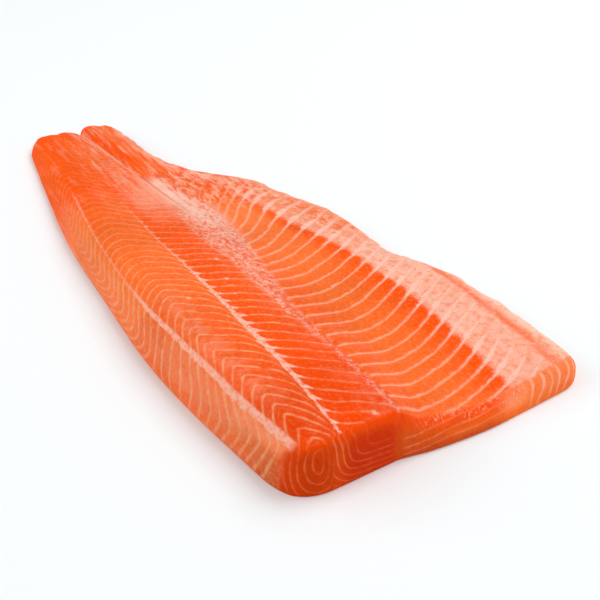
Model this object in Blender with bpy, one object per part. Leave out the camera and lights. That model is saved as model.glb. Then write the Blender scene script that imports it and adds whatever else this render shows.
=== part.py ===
"""Salmon trout fillet: one side of the fish, trimmed, boned and without its skin.

The fillet lies on its flat skin side with the cut flesh up.
+X runs from the tail to the head end, +Y from the back (loin) to the belly and +Z up.
The origin is the middle of the bottom of the bounding box.  Units are metres.
Sizes in the tables below are millimetres.  They are measured along the fillet
from an arbitrary station 0 near the tail, and are centred at the end.
"""
import math

import bmesh
import bpy
import numpy as np

NAME = "fillet"
MM = 0.001

# ---------------------------------------------------------------- grid sizes
CELLS_LONG = 50          # cells from tail to head
CELLS_WIDE = 26          # cells from back to belly
CELLS_RIM = 7            # cells round the rim, from the top edge down to the base

# ------------------------------------------------------------ plan of the side
# stations along the fillet, and what lies at each of them across the fillet
STATION = (-48.0, 0.0, 60.0, 120.0, 180.0, 240.0, 300.0, 350.0, 384.0)
BACK_EDGE = (12.5, 1.0, -12.6, -24.2, -31.2, -37.6, -38.0, -35.0, -33.0)
FAT_LINE = (25.0, 11.0, 0.0, -13.0, -21.5, -26.0, -26.0, -23.5, -20.0)
LATERAL_LINE = (36.0, 32.0, 24.0, 16.0, 10.5, 6.5, 1.0, -2.0, -8.0)
SPINE_LINE = (50.0, 50.0, 50.0, 50.0, 54.0, 37.0, 32.0, 29.0, 22.0)
STEP_LINE = (56.0, 56.0, 59.0, 68.0, 78.0, 72.0, 66.0, 57.0, 40.0)   # foot of the loin
RIB_TIPS = (64.0, 64.0, 70.0, 90.0, 105.0, 114.0, 109.0, 101.0, 97.0)
# the belly flap has a wavier edge, so it has stations of its own
BELLY_STATION = (-48.0, -20.0, 20.0, 50.0, 72.0, 95.0, 130.0, 160.0, 190.0, 215.0,
                 235.0, 258.0, 290.0, 330.0, 360.0, 384.0)
BELLY_EDGE = (78.5, 80.5, 81.0, 86.0, 96.5, 115.0, 127.0, 136.0, 138.4, 136.8,
              138.0, 148.6, 150.8, 151.5, 149.6, 147.0)

# --------------------------------------------------------- thickness of the side
# heights over the base at the same stations as the plan
T_BACK = (7.0, 10.0, 14.0, 18.0, 21.0, 23.0, 24.0, 24.5, 25.0)      # at the back edge
T_SHOULDER = (8.0, 12.0, 16.0, 20.5, 24.0, 26.0, 27.5, 28.0, 28.5)  # at the fat line
T_LOIN = (8.5, 12.5, 16.5, 20.5, 24.5, 27.5, 29.5, 30.5, 30.5)      # at the lateral line
T_SPINE = (7.5, 12.0, 14.5, 17.0, 18.5, 24.5, 27.0, 28.5, 29.0)     # at the spine line
T_RIBS = (8.0, 12.0, 13.5, 14.5, 14.5, 16.0, 16.5, 16.5, 15.5)      # at the foot of the loin
T_TIPS = (8.0, 11.5, 12.0, 12.0, 12.5, 12.5, 12.5, 12.0, 10.5)      # at the rib tips
T_FLAP = (7.5, 10.0, 10.5, 10.5, 11.0, 11.0, 12.0, 12.5, 13.5)      # near the belly edge
T_HEM = (7.0, 8.5, 8.5, 8.5, 9.0, 9.0, 10.0, 10.5, 9.5)            # at the belly edge
FLAP_SEAM = 14.0         # the flap height is measured this far in from the belly edge

# ------------------------------------------------------------------ the two ends
TAIL_END = -52.5         # the tail cut
TAIL_LOBES = ((50.5, 9.0, 3.6), (36.5, 4.0, 3.0), (66.5, 2.0, 2.6))  # notch y, depth, width
HEAD_END = (377.6, 379.8, 379.6, 383.2, 386.0, 384.6, 383.5)         # the head cut
HEAD_END_AT = (-34.0, -8.0, 24.0, 45.0, 80.0, 115.0, 145.0)          # y of each
# how much of each side a rounded corner takes: of the back or belly, and of the end
CORNER = {"tail_back": (22.0, 30.0), "tail_belly": (16.0, 13.0),
          "head_back": (26.0, 20.0), "head_belly": (20.0, 20.0)}

# --------------------------------------------------------------- rounded rims
# how far in from the outline the top starts to roll over, and how square the roll is
RIM_BACK = 17.0
RIM_BELLY = 7.0
RIM_TAIL = 10.0
RIM_HEAD_LOIN = 5.0
RIM_HEAD_BELLY = 10.0
SQUARE_ROUND = 2.0
SQUARE_LOIN_CUT = 2.6
SQUARE_BELLY_CUT = 1.6
SPINE_STEP = 31.0        # y at which the head cut changes from the loin to the belly
EQUATOR = 0.16           # height of the widest part of the rim, as part of the thickness
UNDERCUT = 1.4           # how far the rim tucks in under the widest part

# ------------------------------------------------------- creases of the tail half
CREASE_DEPTH = 1.6       # the groove that the backbone leaves from the tail to mid length
CREASE_WIDTH = 2.6
CREASE_END = 120.0


def hermite(x, xs, ys):
    """Smooth curve through the points (xs, ys) with no overshoot."""
    xs = np.asarray(xs, float)
    ys = np.asarray(ys, float)
    h = np.diff(xs)
    d = np.diff(ys) / h
    m = np.zeros_like(ys)
    m[0], m[-1] = d[0], d[-1]
    for k in range(1, len(xs) - 1):
        if d[k - 1] * d[k] > 0:
            w1, w2 = 2 * h[k] + h[k - 1], h[k] + 2 * h[k - 1]
            m[k] = (w1 + w2) / (w1 / d[k - 1] + w2 / d[k])
    x = np.clip(np.asarray(x, float), xs[0], xs[-1])
    i = np.clip(np.searchsorted(xs, x, side="right") - 1, 0, len(xs) - 2)
    t = (x - xs[i]) / h[i]
    return ((2 * t ** 3 - 3 * t ** 2 + 1) * ys[i] + (t ** 3 - 2 * t ** 2 + t) * h[i] * m[i]
            + (-2 * t ** 3 + 3 * t ** 2) * ys[i + 1] + (t ** 3 - t ** 2) * h[i] * m[i + 1])


def spline(x, xs, ys):
    """Natural cubic spline through the points (xs, ys)."""
    xs = np.asarray(xs, float)
    ys = np.asarray(ys, float)
    n = len(xs)
    h = np.diff(xs)
    a = np.zeros((n, n))
    b = np.zeros(n)
    a[0, 0] = a[-1, -1] = 1.0
    for k in range(1, n - 1):
        a[k, k - 1:k + 2] = h[k - 1], 2 * (h[k - 1] + h[k]), h[k]
        b[k] = 6 * ((ys[k + 1] - ys[k]) / h[k] - (ys[k] - ys[k - 1]) / h[k - 1])
    c = np.linalg.solve(a, b)
    x = np.clip(np.asarray(x, float), xs[0], xs[-1])
    i = np.clip(np.searchsorted(xs, x, side="right") - 1, 0, n - 2)
    p, q = xs[i + 1] - x, x - xs[i]
    return ((c[i] * p ** 3 + c[i + 1] * q ** 3) / (6 * h[i])
            + (ys[i] / h[i] - c[i] * h[i] / 6) * p + (ys[i + 1] / h[i] - c[i + 1] * h[i] / 6) * q)


def smooth(t):
    t = np.clip(t, 0.0, 1.0)
    return t * t * (3 - 2 * t)


def back_edge(x):
    return spline(x, STATION, BACK_EDGE)


def belly_edge(x):
    return spline(x, BELLY_STATION, BELLY_EDGE)


def measured(points):
    """Arc length from 0 to 1 along a polyline."""
    step = np.hypot(*np.diff(points, axis=0).T)
    total = np.concatenate([[0.0], np.cumsum(step)])
    return total


def trimmed(points, start, end):
    """A polyline without its first `start` and last `end` millimetres."""
    d = measured(points)
    t = np.linspace(start, d[-1] - end, 400)
    return np.stack([np.interp(t, d, points[:, k]) for k in (0, 1)], -1)


def outline():
    """The four sides of the plan, from corner to corner, with round corners.

    Each side is a polyline: back and belly run from tail to head, and tail and
    head run from back to belly.  Two sides meet at the middle of a corner's curve.
    """
    y0, y1 = back_edge(TAIL_END), belly_edge(TAIL_END)
    y = np.linspace(y0, y1, 400)
    tail = np.stack([np.full_like(y, TAIL_END), y], -1)
    y = np.linspace(back_edge(HEAD_END[0]), belly_edge(HEAD_END[-1]), 400)
    head = np.stack([hermite(y, HEAD_END_AT, HEAD_END), y], -1)
    x = np.linspace(tail[0, 0], head[0, 0], 400)
    back = np.stack([x, back_edge(x)], -1)
    x = np.linspace(tail[-1, 0], head[-1, 0], 400)
    belly = np.stack([x, belly_edge(x)], -1)
    sides = {"back": back, "belly": belly, "tail": tail, "head": head}
    cut = {name: [0.0, 0.0] for name in sides}
    meets = {"tail_back": ("back", 0, "tail", 0), "head_back": ("back", 1, "head", 0),
             "tail_belly": ("belly", 0, "tail", 1), "head_belly": ("belly", 1, "head", 1)}
    for key, (long_, i, short, j) in meets.items():
        cut[long_][i], cut[short][j] = CORNER[key]
    short_sides = {name: trimmed(p, *cut[name]) for name, p in sides.items()}
    t = np.linspace(0, 1, 41)[:, None]
    for key, (long_, i, short, j) in meets.items():
        sharp = sides[long_][-i]
        p, q = short_sides[long_][-i], short_sides[short][-j]
        curve = (1 - t) ** 2 * p + 2 * t * (1 - t) * sharp + t ** 2 * q
        first, second = curve[:21], curve[20:][::-1]     # each ends at the middle
        for name, end, half in ((long_, i, first), (short, j, second)):
            old = sides[name + "+"] if name + "+" in sides else short_sides[name]
            sides[name + "+"] = (np.concatenate([old, half[1:]]) if end
                                 else np.concatenate([half[::-1][:-1], old]))
    tail = sides["tail+"]                            # notched once its corners are round
    for at, depth, width in TAIL_LOBES:
        tail[:, 0] += depth * np.exp(-np.abs((tail[:, 1] - at) / width) ** 1.5)
    return {name: sides[name + "+"] for name in ("back", "belly", "tail", "head")}


SIDES = outline()
LENGTHS = {name: measured(p) for name, p in SIDES.items()}


def side(name, t):
    d = LENGTHS[name]
    return np.stack([np.interp(t * d[-1], d, SIDES[name][:, k]) for k in (0, 1)], -1)


def plan(u, v):
    """Point of the plan at u from tail to head and v from back to belly."""
    u, v = np.asarray(u, float), np.asarray(v, float)
    uu, vv = u[..., None], v[..., None]
    p = ((1 - vv) * side("back", u) + vv * side("belly", u)
         + (1 - uu) * side("tail", v) + uu * side("head", v)
         - (1 - uu) * (1 - vv) * SIDES["back"][0] - uu * (1 - vv) * SIDES["back"][-1]
         - (1 - uu) * vv * SIDES["belly"][0] - uu * vv * SIDES["belly"][-1])
    return p[..., 0], p[..., 1]


def thickness(x, y):
    """Height of the top over the base, before the rim is rolled over."""
    spine = spline(x, STATION, SPINE_LINE)
    tips = spline(x, STATION, RIB_TIPS)
    knots = [back_edge(x), spline(x, STATION, FAT_LINE), spline(x, STATION, LATERAL_LINE), spine,
             spline(x, STATION, STEP_LINE), tips, belly_edge(x) - FLAP_SEAM, belly_edge(x)]
    for k in range(1, len(knots)):
        knots[k] = np.maximum(knots[k], knots[k - 1] + 3.0)
    heights = [hermite(x, STATION, t) for t in
               (T_BACK, T_SHOULDER, T_LOIN, T_SPINE, T_RIBS, T_TIPS, T_FLAP, T_HEM)]
    ky = np.stack(knots, -1)
    kz = np.stack(heights, -1)
    h = np.diff(ky, axis=-1)
    d = np.diff(kz, axis=-1) / h
    m = np.zeros_like(kz)
    m[..., 0], m[..., -1] = d[..., 0], d[..., -1]
    w1 = 2 * h[..., 1:] + h[..., :-1]
    w2 = h[..., 1:] + 2 * h[..., :-1]
    same = d[..., :-1] * d[..., 1:] > 1e-12
    safe0 = np.where(same, d[..., :-1], 1.0)
    safe1 = np.where(same, d[..., 1:], 1.0)
    m[..., 1:-1] = np.where(same, (w1 + w2) / (w1 / safe0 + w2 / safe1), 0.0)
    y = np.clip(y, ky[..., 0], ky[..., -1])
    i = np.clip((y[..., None] >= ky).sum(-1) - 1, 0, ky.shape[-1] - 2)

    def pick(a, k):
        return np.take_along_axis(a, k[..., None], -1)[..., 0]

    hh = pick(h, i)
    t = (y - pick(ky, i)) / hh
    z = ((2 * t ** 3 - 3 * t ** 2 + 1) * pick(kz, i) + (t ** 3 - 2 * t ** 2 + t) * hh * pick(m, i)
         + (-2 * t ** 3 + 3 * t ** 2) * pick(kz, i + 1) + (t ** 3 - t ** 2) * hh * pick(m, i + 1))
    fade = 1 - smooth((x - 40.0) / (CREASE_END - 40.0))
    return z - CREASE_DEPTH * fade * np.exp(-((y - spine) / CREASE_WIDTH) ** 2)


def inner(a, b):
    """The part of the plan where the top is not rolled over, as u and v."""
    x, y = plan(a, b)
    long_ = LENGTHS["back"][-1]
    wide = belly_edge(x) - back_edge(x)
    step = smooth((y - SPINE_STEP + 9.0) / 18.0)
    rim_head = RIM_HEAD_LOIN + (RIM_HEAD_BELLY - RIM_HEAD_LOIN) * step
    rim_back = RIM_BACK * (0.55 + 0.45 * smooth((x + 48.0) / 150.0))
    a0, a1 = RIM_TAIL / long_, rim_head / long_
    b0, b1 = rim_back / wide, RIM_BELLY / wide
    return a0 + a * (1 - a0 - a1), b0 + b * (1 - b0 - b1)


def squareness(a, b):
    """How square the rolled rim is at a point of the outline."""
    x, y = plan(a, b)
    step = smooth((y - SPINE_STEP + 9.0) / 18.0)
    cut = SQUARE_LOIN_CUT + (SQUARE_BELLY_CUT - SQUARE_LOIN_CUT) * step
    at_head = smooth((a - 0.93) / 0.07)
    return SQUARE_ROUND + (cut - SQUARE_ROUND) * at_head


def surface(a, b, c):
    """Position on the fillet of a point (a, b, c) of the unit cube's skin."""
    iu, iv = inner(a, b)
    low = 0.28                                    # share of the rim under the equator
    roll = np.clip((1 - c) / (1 - low), 0, 1) * (math.pi / 2)
    tuck = np.clip((low - c) / low, 0, 1) * (math.pi / 2)
    n = squareness(a, b)
    s = np.sin(roll) ** (2 / n)
    drop = np.cos(roll).clip(0, 1) ** (2 / n)
    u, v = iu + (a - iu) * s, iv + (b - iv) * s
    x, y = plan(u, v)
    top = thickness(x, y)
    eq = EQUATOR * top
    z = eq + (top - eq) * drop
    z = np.where(c < low, eq * (1 - np.sin(tuck)), z)
    # tuck in under the equator, towards the middle of the fillet
    k = UNDERCUT * (1 - np.cos(tuck))
    u = u + (1 - 2 * a) * k / LENGTHS["back"][-1]
    v = v + (1 - 2 * b) * k / (belly_edge(x) - back_edge(x))
    x, y = plan(u, v)
    return x, y, np.where(c <= 1e-9, 0.0, z)


def spaced(t, crowd):
    """Spread the cells, a little closer together towards both ends."""
    return t - crowd * np.sin(2 * math.pi * t) / (2 * math.pi)


def build_fillet(collection):
    bm = bmesh.new()
    bmesh.ops.create_cube(bm, size=1.0)
    for axis, cells in ((0, CELLS_LONG), (1, CELLS_WIDE), (2, CELLS_RIM)):
        along = [e for e in bm.edges
                 if abs(e.verts[0].co[axis] - e.verts[1].co[axis]) > 0.5]
        bmesh.ops.subdivide_edges(bm, edges=along, cuts=cells - 1, use_grid_fill=True)
    co = np.array([v.co[:] for v in bm.verts], float) + 0.5
    a = spaced(np.round(co[:, 0], 6), 0.25)
    b = spaced(np.round(co[:, 1], 6), 0.15)
    c = np.round(co[:, 2], 6)
    x, y, z = surface(a, b, c)
    x = x - (x.min() + x.max()) / 2
    y = y - (y.min() + y.max()) / 2
    for vert, px, py, pz in zip(bm.verts, x, y, z):
        vert.co = (px * MM, py * MM, pz * MM)
    bmesh.ops.triangulate(bm, faces=bm.faces, quad_method="SHORT_EDGE")
    bmesh.ops.recalc_face_normals(bm, faces=bm.faces)
    mesh = bpy.data.meshes.new(NAME)
    bm.to_mesh(mesh)
    bm.free()
    mesh.shade_smooth()
    obj = bpy.data.objects.new(NAME, mesh)
    collection.objects.link(obj)

    mat = bpy.data.materials.new("trout_flesh")
    mat.use_nodes = True
    bsdf = mat.node_tree.nodes["Principled BSDF"]
    bsdf.inputs["Base Color"].default_value = (0.86, 0.16, 0.035, 1.0)
    bsdf.inputs["Roughness"].default_value = 0.38
    bsdf.inputs["Metallic"].default_value = 0.0
    mesh.materials.append(mat)
    return obj


def main():
    for obj in list(bpy.data.objects):
        bpy.data.objects.remove(obj, do_unlink=True)
    collection = bpy.data.collections.new("salmon_trout_fillet")
    bpy.context.scene.collection.children.link(collection)
    build_fillet(collection)


main()
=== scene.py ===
"""Salmon trout fillet: the looks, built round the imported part."""

import math

import bpy
import numpy as np
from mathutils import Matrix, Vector


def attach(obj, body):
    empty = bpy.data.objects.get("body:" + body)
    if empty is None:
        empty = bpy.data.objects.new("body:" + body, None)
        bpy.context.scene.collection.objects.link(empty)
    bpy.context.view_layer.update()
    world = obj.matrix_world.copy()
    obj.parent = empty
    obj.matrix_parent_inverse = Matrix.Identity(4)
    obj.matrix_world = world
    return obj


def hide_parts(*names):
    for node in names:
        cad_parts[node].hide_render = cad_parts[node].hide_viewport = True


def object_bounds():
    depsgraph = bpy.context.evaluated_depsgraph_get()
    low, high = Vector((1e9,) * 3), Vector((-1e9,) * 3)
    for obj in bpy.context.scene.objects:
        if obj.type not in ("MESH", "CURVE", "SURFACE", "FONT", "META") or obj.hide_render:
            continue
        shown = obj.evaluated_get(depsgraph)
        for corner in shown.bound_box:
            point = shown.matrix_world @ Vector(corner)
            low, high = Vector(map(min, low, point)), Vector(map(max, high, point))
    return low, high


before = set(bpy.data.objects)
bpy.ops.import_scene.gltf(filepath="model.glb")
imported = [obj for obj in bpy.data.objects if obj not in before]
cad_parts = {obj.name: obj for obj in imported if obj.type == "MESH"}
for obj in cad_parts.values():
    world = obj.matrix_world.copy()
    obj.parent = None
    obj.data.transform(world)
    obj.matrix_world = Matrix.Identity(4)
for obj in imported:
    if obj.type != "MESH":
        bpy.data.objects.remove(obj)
CAD_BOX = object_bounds()

# Table coordinates are millimetres: x from tail to head, y from back to belly.
# The row frame is centred on the part, so it is the table less this shift.
SHIFT = (166.824, 56.440)
MM = 0.001

# ---------------------------------------------------------------- the form
STATION = (-48.0, 0.0, 60.0, 120.0, 180.0, 240.0, 300.0, 350.0, 384.0)
BACK_EDGE = (12.5, 1.0, -12.6, -24.2, -31.2, -37.6, -38.0, -35.0, -33.0)
FAT_SEAM = (25.0, 11.0, 0.0, -13.0, -21.5, -26.0, -26.0, -23.5, -20.0)
LATERAL_SEAM = (36.0, 32.0, 24.0, 16.0, 10.5, 6.5, 1.0, -2.0, -8.0)
SPINE_SEAM = (50.0, 50.0, 50.0, 50.0, 54.0, 37.0, 32.0, 29.0, 22.0)
STEP_LINE = (56.0, 56.0, 59.0, 68.0, 78.0, 72.0, 66.0, 57.0, 40.0)
RIB_TIPS = (64.0, 64.0, 70.0, 90.0, 105.0, 114.0, 109.0, 101.0, 97.0)
BELLY_STATION = (-48.0, -20.0, 20.0, 50.0, 72.0, 95.0, 130.0, 160.0, 190.0, 215.0,
                 235.0, 258.0, 290.0, 330.0, 360.0, 384.0)
BELLY_EDGE = (78.5, 80.5, 81.0, 86.0, 96.5, 115.0, 127.0, 136.0, 138.4, 136.8,
              138.0, 148.6, 150.8, 151.5, 149.6, 147.0)
T_BACK = (7.0, 10.0, 14.0, 18.0, 21.0, 23.0, 24.0, 24.5, 25.0)
T_SHOULDER = (8.0, 12.0, 16.0, 20.5, 24.0, 26.0, 27.5, 28.0, 28.5)
T_LOIN = (8.5, 12.5, 16.5, 20.5, 24.5, 27.5, 29.5, 30.5, 30.5)
T_SPINE = (7.5, 12.0, 14.5, 17.0, 18.5, 24.5, 27.0, 28.5, 29.0)
T_RIBS = (8.0, 12.0, 13.5, 14.5, 14.5, 16.0, 16.5, 16.5, 15.5)
T_TIPS = (8.0, 11.5, 12.0, 12.0, 12.5, 12.5, 12.5, 12.0, 10.5)
T_FLAP = (7.5, 10.0, 10.5, 10.5, 11.0, 11.0, 12.0, 12.5, 13.5)
T_HEM = (7.0, 8.5, 8.5, 8.5, 9.0, 9.0, 10.0, 10.5, 9.5)
FLAP_SEAM = 14.0
TAIL_END = -52.5
TAIL_LOBES = ((50.5, 9.0, 3.6), (36.5, 4.0, 3.0), (66.5, 2.0, 2.6))
HEAD_END = (377.6, 379.8, 379.6, 383.2, 386.0, 384.6, 383.5)
HEAD_END_AT = (-34.0, -8.0, 24.0, 45.0, 80.0, 115.0, 145.0)
CORNER = {"tail_back": (22.0, 30.0), "tail_belly": (16.0, 13.0),
          "head_back": (26.0, 20.0), "head_belly": (20.0, 20.0)}
RIM_BACK, RIM_BELLY, RIM_TAIL = 17.0, 7.0, 10.0
RIM_HEAD_LOIN, RIM_HEAD_BELLY = 5.0, 10.0
SQUARE_ROUND, SQUARE_LOIN_CUT, SQUARE_BELLY_CUT = 2.0, 2.6, 1.6
SPINE_STEP, EQUATOR, UNDERCUT = 31.0, 0.16, 1.4
CREASE_DEPTH, CREASE_WIDTH, CREASE_END = 1.6, 2.6, 120.0

# ------------------------------------------------- the lines of the muscle
# All of it is in chart coordinates: the table's x and y on the top, carried on
# round the rim by arc length, so that y keeps falling down the back edge.
AT = (-50, 0, 60, 120, 160, 200, 240, 280, 320, 360, 392)
LINES = {
    "base":    (2, -10, -22, -37, -45, -51, -55.5, -57, -56.5, -55, -53),
    "ridge":   (8, -3, -13, -23, -30.5, -37, -43, -46, -44, -33, -28),
    "fat":     (22, 10.5, 0.5, -12.8, -20.2, -25.5, -28.5, -29, -29, -27, -25.5),
    "apex":    (24, 14, 7, -2, -7.5, -12, -16, -20, -18.3, -19, -21),
    "lateral": (36, 30, 21, 16, 12.3, 10, 7.2, 3.8, 1, -4.2, -9),
    "spine":   (50, 50, 49, 47, 47, 45.5, 37, 32.5, 31.5, 28, 26),
    "foot":    (60, 60, 62, 66, 62, 55, 44.5, 37, 33.5, 30, 26),
    "reach":   (90, 92, 97, 100, 101, 106.5, 111, 111, 107, 101.5, 98),
    "tips":    (64, 66, 76, 96, 99, 106.5, 111, 111, 107, 101.5, 98),
}
# how far towards the tail a muscle line has swept, at each line it crosses
SWEEP_AT = (60, 120, 160, 200, 235, 265, 295, 325, 350, 375)
SWEEP = {
    "base":    (64, 53, 40, 28, 17.5, 6, 5.5, 15, 27, 36),
    "ridge":   (-3, -1.5, -1, 0.5, 2, 7, 1, 3, 10, 30),
    "fat":     (19, 15.5, 13.5, 13.5, 16.5, 15, 16.5, 20, 23, 25),
    "apex":    (20, 18.5, 19, 23, 28, 28.5, 30, 31, 34, 35),
    "mid_up":  (12, 11.5, 13, 15.5, 19, 20, 21.5, 21.5, 23, 24),
    "low_up":  (4, 4.5, 6, 9, 11.5, 11.5, 13.5, 13.5, 12.5, 12),
    "lateral": (0, 0, 0, 0, 0, 0, 0, 0, 0, 0),
    "band":    (-8.5, -9.5, -9.5, -6.5, -7, -7, -9, -12, -14.5, -12),
    "spine":   (-12, -13, -18, -16.5, -14.5, -16.5, -20, -21.5, -25.5, -26),
}
DORSAL_AT = (-50, 1, 61.5, 117.5, 160, 205.5, 249.5, 293, 338, 367, 410)
DORSAL_NO = (-21.5, -14.5, -6.8, 0, 4.9, 10, 15, 20, 25, 28, 32.3)
RIB_SWEEP_AT = (60, 100, 130, 160, 190, 220, 250, 280, 310, 340, 370, 385)
RIB_ACROSS = (0, 0.25, 0.5, 0.75, 1.0, 1.25, 1.55, 2.0)
RIB_SWEEP = (
    (0, 0, 0, 0, 0, 0, 0, 0, 0, 0, 0, 0),
    (14.2, 12.1, 13.4, 7.5, 5.6, 4.2, 2.9, 2.3, 3.5, 3.5, 3.2, 2.4),
    (27.6, 22.4, 23.5, 16.3, 13.1, 10.3, 7.7, 6.1, 7.1, 8.0, 6.6, 5.4),
    (39.4, 31.6, 32.0, 24.7, 19.8, 17.3, 15.2, 15.2, 15.1, 14.2, 11.3, 9.6),
    (49.4, 39.4, 38.5, 30.7, 26.3, 24.4, 24.1, 26.6, 25.5, 22.4, 16.8, 14.9),
    (58.3, 45.8, 42.6, 34.6, 30.7, 32.4, 34.4, 37.1, 34.5, 31.5, 23.4, 20.2),
    (68.0, 53.9, 45.7, 38.6, 37.8, 44.5, 48.6, 48.7, 43.6, 42.8, 34.1, 26.8),
    (82.1, 65.4, 51.0, 49.1, 51.6, 61.5, 68.3, 65.0, 59.0, 58.3, 49.8, 37.6))
RIB_AT = (78.1, 92.7, 141.6, 170.4, 200.0, 241.0, 283.5, 327.7, 356.4, 373.5, 396.6)
RIB_NO = (-19, -14.5, -10, -7, -4, 0, 4, 8, 11, 13, 16)


def hermite(x, xs, ys):
    """Smooth curve through the points (xs, ys) with no overshoot."""
    xs = np.asarray(xs, float)
    ys = np.asarray(ys, float)
    h = np.diff(xs)
    d = np.diff(ys) / h
    m = np.zeros_like(ys)
    m[0], m[-1] = d[0], d[-1]
    for k in range(1, len(xs) - 1):
        if d[k - 1] * d[k] > 0:
            w1, w2 = 2 * h[k] + h[k - 1], h[k] + 2 * h[k - 1]
            m[k] = (w1 + w2) / (w1 / d[k - 1] + w2 / d[k])
    x = np.clip(np.asarray(x, float), xs[0], xs[-1])
    i = np.clip(np.searchsorted(xs, x, side="right") - 1, 0, len(xs) - 2)
    t = (x - xs[i]) / h[i]
    return ((2 * t ** 3 - 3 * t ** 2 + 1) * ys[i] + (t ** 3 - 2 * t ** 2 + t) * h[i] * m[i]
            + (-2 * t ** 3 + 3 * t ** 2) * ys[i + 1] + (t ** 3 - t ** 2) * h[i] * m[i + 1])


def onward(x, xs, ys):
    """The same curve, carried on straight past its two ends."""
    lo = (ys[1] - ys[0]) / (xs[1] - xs[0])
    hi = (ys[-1] - ys[-2]) / (xs[-1] - xs[-2])
    return hermite(x, xs, ys) + np.minimum(x - xs[0], 0) * lo + np.maximum(x - xs[-1], 0) * hi


def spline(x, xs, ys):
    """Natural cubic spline through the points (xs, ys)."""
    xs = np.asarray(xs, float)
    ys = np.asarray(ys, float)
    n = len(xs)
    h = np.diff(xs)
    a = np.zeros((n, n))
    b = np.zeros(n)
    a[0, 0] = a[-1, -1] = 1.0
    for k in range(1, n - 1):
        a[k, k - 1:k + 2] = h[k - 1], 2 * (h[k - 1] + h[k]), h[k]
        b[k] = 6 * ((ys[k + 1] - ys[k]) / h[k] - (ys[k] - ys[k - 1]) / h[k - 1])
    c = np.linalg.solve(a, b)
    x = np.clip(np.asarray(x, float), xs[0], xs[-1])
    i = np.clip(np.searchsorted(xs, x, side="right") - 1, 0, n - 2)
    p, q = xs[i + 1] - x, x - xs[i]
    return ((c[i] * p ** 3 + c[i + 1] * q ** 3) / (6 * h[i])
            + (ys[i] / h[i] - c[i] * h[i] / 6) * p + (ys[i + 1] / h[i] - c[i + 1] * h[i] / 6) * q)


def across(y, knots, values):
    """Smooth curve without overshoot along y, with its own knots at every point."""
    ky = np.stack(knots, -1).astype(float)
    for k in range(1, ky.shape[-1]):
        ky[..., k] = np.maximum(ky[..., k], ky[..., k - 1] + 0.5)
    kz = np.stack(values, -1)
    h = np.diff(ky, axis=-1)
    d = np.diff(kz, axis=-1) / h
    m = np.zeros_like(kz)
    m[..., 0], m[..., -1] = d[..., 0], d[..., -1]
    w1 = 2 * h[..., 1:] + h[..., :-1]
    w2 = h[..., 1:] + 2 * h[..., :-1]
    same = d[..., :-1] * d[..., 1:] > 1e-12
    safe0 = np.where(same, d[..., :-1], 1.0)
    safe1 = np.where(same, d[..., 1:], 1.0)
    m[..., 1:-1] = np.where(same, (w1 + w2) / (w1 / safe0 + w2 / safe1), 0.0)
    yy = np.clip(y, ky[..., 0], ky[..., -1])
    i = np.clip((yy[..., None] >= ky).sum(-1) - 1, 0, ky.shape[-1] - 2)

    def pick(a, k):
        return np.take_along_axis(a, k[..., None], -1)[..., 0]

    hh = pick(h, i)
    t = (yy - pick(ky, i)) / hh
    return ((2 * t ** 3 - 3 * t ** 2 + 1) * pick(kz, i) + (t ** 3 - 2 * t ** 2 + t) * hh * pick(m, i)
            + (-2 * t ** 3 + 3 * t ** 2) * pick(kz, i + 1) + (t ** 3 - t ** 2) * hh * pick(m, i + 1))


def smooth(t):
    t = np.clip(t, 0.0, 1.0)
    return t * t * (3 - 2 * t)


def ramp(x, lo, hi):
    """0 below lo, 1 above hi, smooth between; lo may be the larger."""
    return smooth((x - lo) / (hi - lo))


def bell(x, width):
    return np.exp(-(x / width) ** 2)


def back_edge(x):
    return spline(x, STATION, BACK_EDGE)


def belly_edge(x):
    return spline(x, BELLY_STATION, BELLY_EDGE)


def measured(points):
    return np.concatenate([[0.0], np.cumsum(np.hypot(*np.diff(points, axis=0).T))])


def trimmed(points, start, end):
    """A polyline without its first `start` and last `end` millimetres."""
    d = measured(points)
    t = np.linspace(start, d[-1] - end, 400)
    return np.stack([np.interp(t, d, points[:, k]) for k in (0, 1)], -1)


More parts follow.
